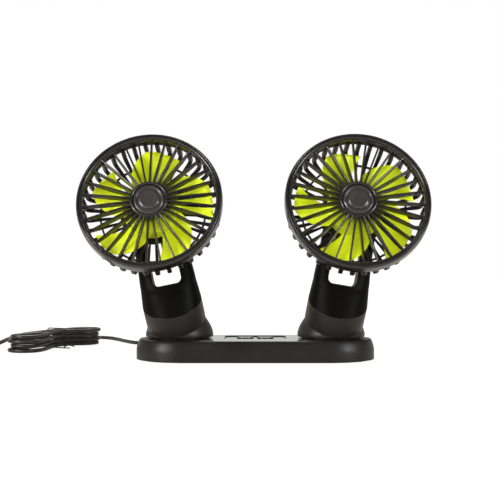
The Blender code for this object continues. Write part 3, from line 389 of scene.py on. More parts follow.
# What a plastic or a metal leaves out is taken from its plain one. Lengths in shaders are in metres
plainPlastic = {
    "grain": 2400.0, "flow": 55.0, "bump": 0.05, "depth": 0.0002, "dust": 0.03, "coat": 0.0, "coatRoughness": 0.2,
    "inside": {}}
plainMetal = {"flow": 60.0, "bump": 0.04, "depth": 0.0001}
plastics = {
    "satinBlackPlastic": {
        "colour": (0.0078, 0.0074, 0.0072), "flowColour": (0.013, 0.0124, 0.0118),
        "roughness": (0.18, 0.28), "specular": 0.46},
    "capBlackPlastic": {
        "colour": (0.0190, 0.0172, 0.0162), "flowColour": (0.027, 0.0245, 0.023),
        "roughness": (0.22, 0.32), "specular": 0.55},
    "cageBlackPlastic": {
        "colour": (0.0070, 0.0064, 0.0060), "flowColour": (0.011, 0.0102, 0.0096),
        "roughness": (0.38, 0.48), "specular": 0.22, "dust": 0.02},
    "baseBlackPlastic": {
        "colour": (0.0052, 0.0047, 0.0045), "flowColour": (0.0086, 0.0079, 0.0075), "roughness": (0.38, 0.48),
        "specular": 0.22, "top": 0.12, "grain": 2200.0, "flow": 48.0, "bump": 0.02, "dust": 0.0},
    "glossBlackPlastic": {
        "colour": (0.0030, 0.0029, 0.0026), "flowColour": (0.0046, 0.0044, 0.0040), "roughness": (0.11, 0.16),
        "specular": 0.46, "grain": 1800.0, "flow": 40.0, "bump": 0.006, "dust": 0.0, "coatRoughness": 0.08},
    "armBlackPlastic": {
        "colour": (0.0013, 0.0012, 0.0011), "flowColour": (0.0021, 0.0020, 0.0018), "roughness": (0.42, 0.52),
        "specular": 0.035, "grain": 1800.0, "flow": 40.0, "bump": 0.012, "dust": 0.01, "coatRoughness": 0.08},
    "postBlackPlastic": {
        "colour": (0.0088, 0.0080, 0.0070), "flowColour": (0.0135, 0.0124, 0.0110),
        "roughness": (0.38, 0.50), "specular": 0.20, "grain": 2000.0, "flow": 50.0},
    "limePlastic": {
        "colour": (0.66, 0.78, 0.010), "flowColour": (0.74, 0.84, 0.016), "roughness": (0.30, 0.42),
        "specular": 0.45, "grain": 1500.0, "flow": 70.0, "bump": 0.02, "dust": 0.02,
        "inside": {"Subsurface Weight": 0.25, "Subsurface Radius": (1.0, 1.0, 0.2), "Subsurface Scale": 0.002}},
    "blackRubber": {
        "colour": (0.0060, 0.0058, 0.0056), "flowColour": (0.010, 0.0095, 0.009), "roughness": (0.55, 0.72),
        "specular": 0.25, "grain": 3200.0, "flow": 90.0, "bump": 0.12, "dust": 0.06},
    "cordJacket": {
        "colour": (0.0065, 0.0062, 0.0060), "flowColour": (0.011, 0.0105, 0.010), "roughness": (0.30, 0.44),
        "specular": 0.40, "grain": 2800.0, "flow": 120.0, "dust": 0.04},
    "darkNylon": {
        "colour": (0.0046, 0.0044, 0.0040), "flowColour": (0.0078, 0.0074, 0.0068), "roughness": (0.44, 0.56),
        "specular": 0.2, "grain": 2200.0, "flow": 80.0, "bump": 0.04, "dust": 0.02},
    "greenBoard": {
        "colour": (0.020, 0.12, 0.050), "flowColour": (0.030, 0.16, 0.070), "roughness": (0.30, 0.42), "specular": 0.5,
        "grain": 1400.0, "flow": 160.0, "bump": 0.03, "dust": 0.05, "coat": 0.2, "coatRoughness": 0.15}}
metals = {
    "plainSteel": {
        "colour": (0.56, 0.56, 0.55), "flowColour": (0.42, 0.42, 0.42), "roughness": (0.24, 0.42), "grain": 1400.0},
    "bronzeBush": {
        "colour": (0.48, 0.29, 0.12), "flowColour": (0.34, 0.20, 0.09), "roughness": (0.34, 0.50), "grain": 1900.0}}
dustColour = (0.20, 0.19, 0.17, 1)
flowSpan = (0.35, 0.65)
polishSetup = {"facing": (0.985, 0.999), "middle": (0.031, 0.038)}


# Faces that point straight up are smoother than the sides, in the middle of the base between its feet
def polishedTop(tree, place, level, smoothness):
    geometry = addNode(tree, "NewGeometry")
    split = addNode(tree, "SeparateXYZ", {"Vector": (geometry, "Normal")})
    facing = addRange(tree, (split, "Z"), polishSetup["facing"])
    sideways = addNode(tree, "SeparateXYZ", {"Vector": (place, "Object")})
    distance = addNode(tree, "Math", {0: (sideways, "X")}, operation="ABSOLUTE")
    middle = addRange(tree, (distance, "Value"), polishSetup["middle"], (1.0, 0.0), "SMOOTHSTEP")
    both = addProduct(tree, (facing, "Result"), (middle, "Result"))
    return addNode(tree, "Mix", {"Factor": (both, "Value"), "A": (level, "Result"), "B": smoothness}, data_type="FLOAT")


def newMaterial(name):
    material = bpy.data.materials.new(name)
    material.use_nodes = True
    tree = material.node_tree
    return material, tree, tree.nodes["Principled BSDF"]


# The grain, the slow change of colour that it drives and the bump that it gives
def grained(tree, shader, look):
    place = addNode(tree, "TexCoord")
    scales = {"Scale": look["grain"], "Flow Scale": look["flow"]}
    grain = addNode(tree, "Group", {"Vector": (place, "Object"), **scales}, node_tree=grainGroup)
    colours = {"A": (*look["colour"], 1), "B": (*look["flowColour"], 1)}
    tone = addNode(tree, "Mix", {"Factor": (grain, "Flow"), **colours}, data_type="RGBA")
    bump = addNode(tree, "Bump", {"Strength": look["bump"], "Distance": look["depth"], "Height": (grain, "Height")})
    feed(tree, shader, {"Normal": (bump, "Normal")})
    return place, grain, tone


def makePlastic(name, look):
    material, tree, shader = newMaterial(name)
    place, grain, tone = grained(tree, shader, look)
    dust = addNode(tree, "Group", {"Vector": (place, "Object"), "Amount": look["dust"]}, node_tree=dustGroup)
    dusty = addNode(tree, "Mix", {"Factor": (dust, "Mask"), "A": (tone, "Result"), "B": dustColour}, data_type="RGBA")
    level = addRange(tree, (grain, "Flow"), flowSpan, look["roughness"])
    if "top" in look:
        level = polishedTop(tree, place, level, look["top"])
    feed(tree, shader, {
        "Base Color": (dusty, "Result"), "Roughness": (level, "Result"), "Specular IOR Level": look["specular"],
        "Coat Weight": look["coat"], "Coat Roughness": look["coatRoughness"], **look["inside"]})
    return material


def makeMetal(name, look):
    material, tree, shader = newMaterial(name)
    grain, tone = grained(tree, shader, look)[1:]
    level = addRange(tree, (grain, "Height"), (0.0, 1.0), look["roughness"])
    feed(tree, shader, {"Base Color": (tone, "Result"), "Roughness": (level, "Result"), "Metallic": 1.0})
    return material


finishes = {name: makePlastic(name, {**plainPlastic, **look}) for name, look in plastics.items()}
finishes.update({name: makeMetal(name, {**plainMetal, **look}) for name, look in metals.items()})
print("finishes made:", len(finishes))


# Cord: one lead from the rear of the base, wound into a hank on the surface, with a free tail to its plug
cordSetup = {
    "diameter": 3.2, "exit": (-19.0, 51.3, 8.4),
    "centre": (-168.0, 100.0), "heading": 64.0, "halfLength": 52.0, "endRadius": 9.8, "waist": 2.0,
    "step": 3.9, "layer": 3.7, "layers": 4, "loops": 4, "start": -0.11, "finish": 4.08, "perTurn": 160, "lift": 1.2,
    "join": 3.5, "plug": (-248.0, 142.0, 3.6), "plugLead": 6.3, "spacing": 0.9,
    "leadRoute": (
        (-19.4, 64.0, 6.6), (-20.8, 76.0, 3.4), (-25.2, 88.0, 1.7), (-34.2, 98.5, 1.6), (-48.0, 106.0, 1.6),
        (-66.0, 110.5, 1.6), (-86.0, 118.0, 1.6), (-104.0, 133.0, 1.6), (-116.0, 153.0, 1.6), (-125.5, 174.0, 1.6),
        (-137.5, 190.5, 1.6), (-152.5, 194.5, 1.6), (-163.5, 183.0, 1.6), (-166.0, 164.0, 1.6)),
    "tailRoute": (
        (-192.5, 80.0, 12.6), (-203.5, 81.0, 9.2), (-213.0, 85.0, 5.2), (-222.5, 90.0, 2.6), (-232.5, 97.0, 1.7),
        (-241.0, 107.0, 1.8), (-246.0, 118.0, 2.6))}


def hankMatrix():
    return translation(*cordSetup["centre"], 0) @ rotation(math.radians(cordSetup["heading"]), "Z")


# The hank's line: two straight runs drawn in at the waist and two half circles, each turn a step further out
# or in and each layer a cord higher, with the climb eased between layers
def hankLine(turns):
    s = cordSetup
    reach = s["halfLength"] - s["endRadius"]
    bend = math.pi * (s["endRadius"] + s["step"] / 2)
    whole = 4 * reach + 2 * bend
    share = turns % 1 * whole
    perLayer = s["loops"] / s["layers"]
    layer = np.clip(np.floor(turns / perLayer), 0, s["layers"] - 1)
    offset = s["step"] * np.where(layer % 2 == 0, (layer + 1) * perLayer - turns, turns - layer * perLayer)
    radius = s["endRadius"] + offset
    angleBack = math.pi / 2 + math.pi * (share - reach) / bend
    angleAhead = -math.pi / 2 + math.pi * (share - 3 * reach - bend) / bend
    zones = [share < reach, share < reach + bend, share < 3 * reach + bend, share < 3 * reach + 2 * bend]
    runs = [-share, -reach + radius * np.cos(angleBack), share - 2 * reach - bend, reach + radius * np.cos(angleAhead)]
    x = np.select(zones, runs, whole - share)
    drawn = np.cos(math.pi * np.clip(x, -reach, reach) / (2 * reach)) ** 2
    side = s["endRadius"] - (s["endRadius"] - s["waist"]) * drawn + offset
    y = np.select(zones, [side, radius * np.sin(angleBack), -side, radius * np.sin(angleAhead)], side)
    steps = np.arange(1, s["layers"])[:, None] * perLayer
    risen = np.clip((turns - steps) / (2 * reach / whole) + 0.5, 0, 1)
    z = s["diameter"] / 2 + s["layer"] * (risen ** 2 * (3 - 2 * risen)).sum(axis=0) + s["lift"] * drawn
    return np.stack([x, y, z], axis=-1)


def cordLine():
    s = cordSetup
    d = s["diameter"]
    turns = np.linspace(s["start"], s["finish"], round((s["finish"] - s["start"]) * s["perTurn"]) + 1)
    hank = placed(hankLine(turns), hankMatrix())
    start = np.array(s["exit"], float)
    away, off = unit(hank[0] - hank[1]), unit(hank[-1] - hank[-2])
    arrive, leave = hank[0] + away * s["join"], hank[-1] + off * s["join"]
    end = np.array(s["plug"], float) - (0, s["plugLead"], 0)
    lead = [start, start + (0, d, 0), *s["leadRoute"], arrive + away * 3 * d, arrive + away * d, arrive]
    tail = [leave, leave + off * d, *s["tailRoute"], end - (0, 2 * d, 0), end - (0, d, 0), end]
    return evenPath(np.vstack([smoothPath(lead, s["spacing"]), hank, smoothPath(tail, s["spacing"])]), s["spacing"])


def makeCord():
    line = cordLine()
    form = sweptForm(line, circleSection(cordSetup["diameter"] / 2, 16), (0, 0, 1))
    nodes = ("cord_lead", "cord_hank", "cord_tail")
    return dress("cord", form, "cordJacket", "cord_jacket", "base", *nodes, sharp=60), line


# Wire tie: one turn round the hank's waist. Its ends are so many pitches along, then from the hank's near side
# and above the surface
tieSetup = {
    "wire": 0.9, "gap": 0.5, "pitch": 2.7, "corner": 1.8, "spacing": 0.5,
    "ends": ((-1, -7.2, 0), (-1, -3.6, 0), (1, -1.8, 1.8), (1.5, -7.2, 0.9))}


def makeTie():
    s, t = cordSetup, tieSetup
    wireRadius = t["wire"] / 2
    side = s["waist"] + s["step"] + s["diameter"] / 2 + t["gap"] + wireRadius
    high = s["diameter"] + s["lift"] + s["layer"] * (s["layers"] - 1) + t["gap"] + wireRadius
    outline = roundedRectangle(2 * side, high - wireRadius, t["corner"], 6)
    outline = np.roll(outline, -len(outline) * 3 // 4 - 1, axis=0)[:-1]
    along = np.linspace(-t["pitch"] / 2, t["pitch"] / 2, len(outline))
    turn = np.column_stack([along, outline[:, 0], outline[:, 1] + (high + wireRadius) / 2])
    ends = np.array(t["ends"]) * (t["pitch"], 1, 1) + (0, -side, wireRadius)
    matrix = hankMatrix()
    line = placed(smoothPath(np.vstack([ends[:2], turn, ends[2:]]), t["spacing"], 8), matrix)
    form = sweptForm(line, circleSection(wireRadius, 10), matrix[:3, 0])
    return dress("hankTie", form, "blackRubber", "black_rubber", "base", "hank_tie", sharp=60)


# Plug: a softened body with grip ribs and a tapered sleeve, and its metal shell with two windows
plugSetup = {
    "length": 18.0, "width": 12.5, "height": 7.2, "corner": 2.2, "edge": 0.8,
    "ribs": 4, "ribStart": 3.2, "ribPitch": 1.5, "ribDepth": 0.35,
    "sleeve": (-6.0, 1.0), "sleeveRadii": (3.4, 2.3), "sleeveRings": (0.28, 4, 0.3, (-1, 0.95)),
    "shellGap": 0.3, "shellLength": 11.8, "shell": (12.0, 4.5, 0.5), "shellBore": (11.2, 3.7, 0.3), "wall": 0.4,
    "window": (2.4, 1.9, 0.2), "windowReach": 2.9, "windowShare": 0.55}


def makePlug():
    p = plugSetup
    place = translation(*cordSetup["plug"]) @ rotation(-math.pi / 2, "X")
    z = np.linspace(0, p["length"], 91)
    edge = np.minimum(np.minimum(z, p["length"] - z) / p["edge"], 1)
    grip = (z > p["ribStart"]) & (z < p["ribStart"] + p["ribs"] * p["ribPitch"])
    wave = 0.5 - 0.5 * np.cos(math.tau * (z - p["ribStart"]) / p["ribPitch"])
    inset = p["edge"] * (1 - np.sqrt(1 - (1 - edge) ** 2)) + grip * p["ribDepth"] * wave
    body = slabForm(roundedRectangle(p["width"], p["height"], p["corner"]), np.column_stack([inset, z]))
    tip, sunk = p["sleeve"]
    z = np.linspace(tip, sunk, 57)
    sleeve = sleeveForm(z, np.clip(z / tip, 0, 1), *p["sleeveRadii"], p["sleeveRings"], [(0, tip)], [(0, sunk)])
    plug = dress("plugBody", moved(joined(body, sleeve), place), "blackRubber", "black_rubber", "base", "usb_plug")
    low = p["length"] + p["shellGap"]
    high = low + p["shellLength"]
    outer, inner = roundedRectangle(*p["shell"], 4), roundedRectangle(*p["shellBore"], 4)
    rows = [(outer, low), (outer, high), (inner, high), (inner, low + p["wall"])]
    shell = np.array([np.column_stack([line, np.full(len(line), height)]) for line, height in rows])
    mesh = meshFrom("plugShell", cappedForm(shell))
    window = slabForm(roundedRectangle(*p["window"], 3), [(0, -9), (0, 9)])
    for x in (-p["windowReach"], p["windowReach"]):
        hole = shifted(window, x, low + p["shellLength"] * p["windowShare"])
        mesh = combined(mesh, moved(hole, rotation(math.pi / 2, "X")))
    mesh.transform(metreMatrix(place))
    return [plug, dress("plugShell", mesh, "plainSteel", "plain_steel", "base", "usb_shell")]


cord, cordPath = makeCord()
tie = makeTie()
plugPieces = makePlug()
print("cord laid, mm:", round(pathLength(cordPath)))


# Where the moving parts stand at rest, read from the joints
def restFrames(side):
    names = ("pedestal_turn", "elbow_turn", "head_tilt", "rotor_spin")
    foot, elbow, tilt, spin = (joints[f"{side}_{name}"] for name in names)
    across, slope, fanAxis = np.array(tilt["axis"]), -np.array(elbow["axis"]), np.array(spin["axis"])
    footPlace, elbowPlace, tiltPlace = (np.array(joint["pos_m"]) / mm for joint in (foot, elbow, tilt))
    step = elbowPlace - footPlace
    post = translation(*footPlace) @ rotation(math.atan2(step[0], -step[1]), "Z")
    c, s = math.cos(elbowSlope), math.sin(elbowSlope)
    third = np.cross(across, slope)
    arm = frameMatrix(elbowPlace, across, -c * third - s * slope, -s * third + c * slope)
    head = frameMatrix(tiltPlace, across, np.cross(fanAxis, across), fanAxis)
    return post, arm, head


elbowSlope = math.acos(abs(joints["left_elbow_turn"]["axis"][2]))
elbowStep = (np.array(joints["left_elbow_turn"]["pos_m"]) - joints["left_pedestal_turn"]["pos_m"]) / mm

# Front grille: a ring with a bead and a groove, straight fins and a stepped hub, heights from the ring's front
grilleSetup = {
    "reach": 48.0, "radius": 52.5, "width": 4.6, "skirt": 9.5, "skirtWall": 1.6, "rimDepth": 4.5,
    "fins": 30, "finThickness": 1.35, "finTaper": 0.9, "finHubRise": -0.4, "finRimDrop": 1.6, "crown": 0.62,
    "finBack": ((0, 6.6), (0.4, 6.9), (0.8, 6.0), (0.93, 5.0), (0.985, 4.3), (1, 4.2)), "finOverlap": (1.4, 0.6),
    "hubRadius": 14.1, "hubBack": 6.6}


def ringForm():
    g = grilleSetup
    outer, inner, skirt = g["radius"], g["radius"] - g["width"], g["radius"] - g["skirtWall"]
    corners = [
        (outer, -1.8, 1.2), (outer, -g["skirt"], 0.5), (skirt, -g["skirt"], 0.4), (skirt, -g["rimDepth"], 0.5),
        (inner, -g["rimDepth"], 0.5), (inner, -1.7, 0.7), (inner + 0.9, -0.45, 0.6), (outer - 2.55, -0.3, 0.25),
        (outer - 2.4, -0.95, 0.15), (outer - 1.95, -0.95, 0.15), (outer - 1.8, -0.1, 0.3), (outer - 0.9, 0.0, 0.7)]
    outline = softCorners(np.array(corners) + (0, g["reach"], 0), 5, closed=True)
    return turnedForm(outline, 180, closed=True)


# One fin: at each radius a section with a rounded front edge, crowned in front and cut to a curve behind
def finForm():
    g = grilleSetup
    inside, outside = g["finOverlap"]
    r = np.linspace(g["hubRadius"] - inside, g["radius"] - g["width"] + outside, 31)
    share = (r - r[0]) / (r[-1] - r[0])
    crown = np.where(share < 0.5, 1 - (1 - g["crown"]) * share * 2, g["crown"] * 2 * (1 - share))
    top = g["reach"] - g["finRimDrop"] + (g["finHubRise"] + g["finRimDrop"]) * crown
    bottom = g["reach"] - np.interp(share, *np.transpose(g["finBack"]))
    half = g["finThickness"] / 2
    a = np.linspace(0, math.pi, 7)
    across = np.concatenate([half * np.cos(a), [-half * g["finTaper"], half * g["finTaper"]]])
    edge = np.concatenate([half * (np.sin(a) - 1), [0, 0]])
    onTop = np.arange(len(across)) < len(a)
    z = np.where(onTop[None], top[:, None] + edge[None], bottom[:, None])
    x = np.broadcast_to(r[:, None], z.shape)
    y = np.broadcast_to(across[None], z.shape)
    return cappedForm(np.stack([x, y, z], axis=-1))


def grilleHubForm():
    g = grilleSetup
    r, z, back = g["hubRadius"], g["reach"] + g["finHubRise"], g["reach"] - g["hubBack"]
    corners = [
        (0, z - 1.6, 0), (r - 2.4, z - 1.6, 0.2), (r - 2.4, z + 0.35, 0.25), (r - 1.7, z + 0.95, 0.5),
        (r - 0.75, z + 0.75, 0.6), (r, z - 0.9, 0.9), (r, back, 0.6), (0, back, 0)]
    return turnedForm(softCorners(corners, 5), 96)


def hubCapForm():
    g = grilleSetup
    r, z = g["hubRadius"] - 2.7, g["reach"] + g["finHubRise"] - 1.3
    corners = [
        (0, z + 1.5, 0), (4.6, z + 1.6, 2.0), (6.2, z + 1.85, 0.9), (7.4, z + 1.2, 0.8), (7.6, z + 0.25, 0.2),
        (8.9, z + 0.25, 0.25), (9.0, z + 1.1, 0.4), (10.0, z + 1.45, 0.6), (10.8, z + 0.8, 0.4), (r, z + 0.45, 0.2),
        (r, z, 0), (0, z, 0)]
    return turnedForm(softCorners(corners, 4), 96)


# Rear cage: ribs bent from the band to the back plate, and one concentric hoop
cageSetup = {
    "bandDepth": 6.2, "bandWall": 2.2, "depth": 28.0, "ribs": 36, "ribWidth": 3.4, "ribTaper": 1.2, "ribThickness": 2.0,
    "ribReach": 1.5, "ribSpacing": 1.6, "squareness": 0.6, "sideThickness": 3.4, "sideStart": 3, "sideRun": 4,
    "corner": 4.5, "dish": 2.0, "discRadius": 24.0, "discThickness": 2.6, "discLip": 0.3, "hole": 12.3,
    "ringRadius": 38.5, "ringWidth": 1.4, "ringDepth": (0.1, 1.9), "gap": 0.3}


def cageRadius():
    return grilleSetup["radius"] - grilleSetup["skirtWall"] - cageSetup["gap"]


# One rib: a rounded section carried along the line side, corner and back, narrowing with the radius
# and thickened inwards along the side
def ribForm():
    g, c = grilleSetup, cageSetup
    outer = cageRadius()
    back = g["reach"] - c["depth"]
    half = c["ribThickness"] / 2
    front = g["reach"] - g["rimDepth"] - c["gap"] - c["bandDepth"] + c["bandWall"]
    bends = [
        (outer - half, front), (outer - half, back + c["dish"] + half), (c["discRadius"] - c["ribReach"], back + half)]
    line = softened(bends, c["corner"], 8, closed=False)
    line = evenPath(np.column_stack([line[:, 0], np.zeros(len(line)), line[:, 1]]), c["ribSpacing"])
    width = c["ribWidth"] * np.clip(line[:, 0] / outer, 0, 1) ** c["ribTaper"]
    a = math.tau * (np.arange(12) + 0.5) / 12
    section = pulled(np.stack([np.cos(a), np.sin(a)], axis=-1), c["squareness"])
    up = np.cross(unit(np.gradient(line, axis=0)), (0, 1, 0))
    along = np.clip((line[:, 2] - back - c["dish"] - c["sideStart"]) / c["sideRun"], 0, 1)
    inside = up[:, :1] * section[None, :, 1] < 0
    depth = inside * (c["sideThickness"] - c["ribThickness"]) * along[:, None]
    points = line[:, None] + up[:, None] * section[None, :, 1:] * (half + depth[..., None])
    points[..., 1] += section[None, :, 0] * width[:, None] / 2
    return cappedForm(points)


def cageForm():
    g, c = grilleSetup, cageSetup
    outer = cageRadius()
    high, back = g["reach"] - g["rimDepth"] - c["gap"], g["reach"] - c["depth"]
    level = back + c["dish"] * (c["ringRadius"] - c["discRadius"]) / (outer - c["discRadius"])
    inner, low = outer - c["bandWall"], high - c["bandDepth"]
    wide, narrow = c["ringRadius"] + c["ringWidth"] / 2, c["ringRadius"] - c["ringWidth"] / 2
    hoopLow, hoopHigh = level + c["ringDepth"][0], level + c["ringDepth"][1]
    disc, discTop, hole = c["discRadius"], back + c["discThickness"], c["hole"]
    outlines = (
        ([(outer, high), (outer, low), (inner, low), (inner, high)], 0.4, 144),
        ([(disc, back), (disc, discTop), (hole, discTop), (hole, back - c["discLip"])], 0.5, 96),
        ([(wide, hoopLow), (wide, hoopHigh), (narrow, hoopHigh), (narrow, hoopLow)], 0.4, 120))
    rounds = [turnedForm(softened(outline, soft, 3), steps, closed=True) for outline, soft, steps in outlines]
    return joined(*rounds, aboutAxis(ribForm(), c["ribs"], math.pi / c["ribs"]))


# Rotor: a crowned hub and blades whose surface is swept, twisted and thinned towards every edge
rotorSetup = {
    "front": 37.2, "hubRadius": 21.0, "hubDepth": 12.45, "wall": 1.6, "crown": 1.6, "bossLength": 4.2,
    "bossRadius": 3.6, "bore": 1.3, "blades": 5, "tipRadius": 44.7, "thickness": 1.5,
    "rootAngle": 27.9, "tipAngle": 21.7, "sweep": -23.2,
    "curl": 75.0, "rootRise": 4.8, "tipRise": 5.6, "tipRounding": 0.22, "restTurn": {"left": 21.0, "right": -8.0}}


def bladeForm():
    r = rotorSetup
    along = np.linspace(0, 1, 33)[:, None]
    loop = math.tau * np.arange(56) / 56
    across, side = np.cos(loop)[None], np.sin(loop)[None]
    leading = np.maximum(across, 0)
    half = np.radians(r["rootAngle"] + (r["tipAngle"] - r["rootAngle"]) * along)
    half = half * (1 - r["tipRounding"] * leading * along ** 6)
    rise = r["rootRise"] + (r["tipRise"] - r["rootRise"]) * along
    root = r["hubRadius"] - r["wall"] / 2
    reach = r["tipRadius"] - root
    radius = root + reach * along - reach * r["tipRounding"] / 2 * along * leading ** 4
    angle = across * half + math.radians(r["sweep"]) * along
    thin = np.sqrt(np.clip(1 - along ** 24, 0, 1))
    middle = r["front"] - r["hubDepth"] / 2 + rise * np.sin(across * math.radians(r["curl"]))
    height = middle + pulled(side, 0.35) * thin * r["thickness"] / 2
    return cappedForm(np.stack([radius * np.cos(angle), radius * np.sin(angle), height], axis=-1))


def rotorForm():
    r = rotorSetup
    front, radius, inner, crown = r["front"], r["hubRadius"], r["hubRadius"] - r["wall"], r["crown"]
    low, under, boss, bore = front - r["hubDepth"], front - r["wall"], r["bossRadius"], r["bore"]
    corners = [
        (0, front, 0), (radius * 0.6, front - crown * 0.3, 4), (radius * 0.92, front - crown, 1.6),
        (radius, front - crown * 1.8, 1.2), (radius, low, 0.4), (inner, low, 0.4), (inner, under - crown, 1),
        (boss, under - crown * 0.5, 0.3), (boss, under - r["bossLength"], 0.3), (bore, under - r["bossLength"], 0.2),
        (bore, under - 0.3, 0.1), (0, under - 0.3, 0)]
    return joined(turnedForm(softCorners(corners, 5), 96), aboutAxis(bladeForm(), r["blades"]))


# Motor housing and the motor in it
housingSetup = {
    "radius": 21.5, "waist": 13.0, "length": 8.1, "rimShare": 0.45, "knuckleRadius": 11.0, "knuckleWidth": 10.25,
    "motorRadius": 12.0, "sink": 6.6, "reach": 8.0, "gap": 0.3, "drop": 0.6,
    "noseRadius": 4.0, "noseHeight": 2.0, "noseBore": 2.9}


def housingTop():
    return grilleSetup["reach"] - cageSetup["depth"] - housingSetup["drop"]


def housingMesh():
    h = housingSetup
    high = housingTop()
    well, floor, low = h["motorRadius"] + h["gap"], high - h["sink"], high - h["length"]
    corners = [
        (well, floor, 0), (well, high, 0.3), (h["radius"], high, 0.5),
        (h["radius"], high - h["length"] * h["rimShare"], 1.4), (h["waist"], low, 1.8), (0, low, 0)]
    cup = turnedForm(np.vstack([[(0, floor)], softCorners(corners, 5)]), 120)
    a = np.linspace(math.pi / 2, 3 * math.pi / 2, 49)
    reach = high - h["length"] / 2
    arc = h["knuckleRadius"] * np.stack([np.cos(a), np.sin(a)], axis=-1)
    outline = np.vstack([arc, [(reach, -h["knuckleRadius"]), (reach, h["knuckleRadius"])]])
    knuckle = slabForm(outline, roundedLevels(-h["knuckleWidth"], h["knuckleWidth"], 0.5))
    return combined(meshFrom("cup", cup), moved(knuckle, rotation(-math.pi / 2, "Y")), "UNION")


def motorForm():
    h = housingSetup
    low, top = housingTop() - h["sink"] + h["gap"], housingTop() + h["reach"]
    tip, radius, nose, bore = top + h["noseHeight"], h["motorRadius"], h["noseRadius"], h["noseBore"]
    corners = [
        (0, top - 2.0, 0), (bore, top - 2.0, 0.1), (bore, tip, 0.2), (nose, tip, 0.3), (nose, top, 0.3),
        (radius * 0.93, top, 0.3), (radius, top - 0.8, 0.6), (radius, low, 0.4), (0, low, 0)]
    return turnedForm(softCorners(corners, 4), 72)


def makeHead(side, head):
    fins = aboutAxis(finForm(), grilleSetup["fins"], math.pi / grilleSetup["fins"])
    grille = joined(ringForm(), fins, grilleHubForm())
    turn = rotation(math.radians(rotorSetup["restTurn"][side]), "Z")
    housing = housingMesh()
    housing.transform(metreMatrix(head))
    for name, shape, finish, finishSlot, body, node in (
            ("FrontGrille", moved(grille, head), "satinBlackPlastic", "satin_black_plastic", "head", "front_grille"),
            ("HubCap", moved(hubCapForm(), head), "capBlackPlastic", "gloss_black_plastic", "head", "hub_cap"),
            ("RearCage", moved(cageForm(), head), "cageBlackPlastic", "satin_black_plastic", "head", "rear_cage"),
            ("Rotor", moved(rotorForm(), head @ turn), "limePlastic", "lime_plastic", "rotor", "rotor"),
            ("MotorHousing", housing, "satinBlackPlastic", "satin_black_plastic", "head", "motor_housing"),
            ("Motor", moved(motorForm(), head), "plainSteel", "plain_steel", "head", "motor")):
        dress(side + name, shape, finish, finishSlot, f"{side}_{body}", f"{side}_{node}")


# Pedestal: a bell foot, an oblique drum and the neck between them
postSetup = {
    "footLow": 1.5, "footRadius": 25.4, "footEdge": 0.4, "bellHeight": 18.5,
    "bell": ((1.0, 0.0), (1.0, 0.16), (0.93, 0.44), (0.79, 0.75), (0.68, 1.0)),
    "elbowHeight": elbowStep[2], "elbowOffset": math.hypot(elbowStep[0], elbowStep[1]),
    "drumRadius": 22.2, "drumLength": 17.5, "drumGap": 0.15,
    "neckRadius": 18.5, "neckTrim": 24.0, "neckLength": 40.0, "neckHigh": 52.0, "neckGap": 0.3}


def postMesh():
    p = postSetup
    low, foot, edge, bellTop = p["footLow"], p["footRadius"], p["footEdge"], p["bellHeight"] + p["footLow"]
    bell = np.array([(foot * r, p["bellHeight"] * h + low) for r, h in reversed(p["bell"])])
    bell = smoothPath(np.column_stack([bell, np.zeros(len(bell))]), 0.6)[:, :2]
    bell = np.vstack([[(0, bellTop)], bell[:-1], [(foot, low + edge), (foot - edge, low), (0, low)]])
    seam = translation(0, -p["elbowOffset"], p["elbowHeight"]) @ rotation(elbowSlope, "X")
    neck = cylinderForm(p["neckRadius"], -p["neckGap"], -p["neckLength"], 96)
    column = cylinderForm(p["neckTrim"], p["neckHigh"], low + p["neckGap"], 96)
    top, end, wide = -p["drumGap"], -p["drumLength"], p["drumRadius"]
    drum = turnedForm(softCorners([(0, top, 0), (wide, top, 0.35), (wide, end, 0.4), (0, end, 0)], 4), 120)
    mesh = combined(meshFrom("neck", moved(neck, seam)), column, "INTERSECT")
    mesh = combined(mesh, turnedForm(bell, 120), "UNION")
    return combined(mesh, moved(drum, seam), "UNION")


# Fork: sections from the oblique seam up to the two ears, squarer as they rise, with the window cut through.
# Each section is a share of the length, of the width and of the depth, then setback, slope and squareness
forkSetup = {
    "length": 58.3, "halfWidth": 19.8, "halfDepth": 11.0, "setback": 4.0,
    "seamRadius": 22.2, "seamRows": 9, "seamGap": 0.15,
    "sections": (
        (0.0, 1.0, 1.0, 0.0, 1.0, 2.0), (0.27, 1.06, 1.42, -0.1, 0.62, 2.6), (0.52, 1.01, 1.14, 0.4, 0.28, 3.2),
        (0.78, 1.0, 1.02, 0.85, 0.1, 3.6), (0.98, 1.0, 0.99, 1.0, 0.0, 3.6)),
    "windowWidth": 21.1, "windowDrop": 45.8, "windowRise": 22.0, "windowCorner": 4.0, "windowSlope": -1.5,
    "flare": (
        (0, -44), (0, 15.5), (-0.25, 17.0), (-0.8, 18.3), (-1.6, 19.4), (-2.6, 20.2), (-3.8, 20.8), (-6.0, 21.3),
        (-6.0, 44)),
    "sink": (4.6, 16.8, 30)}


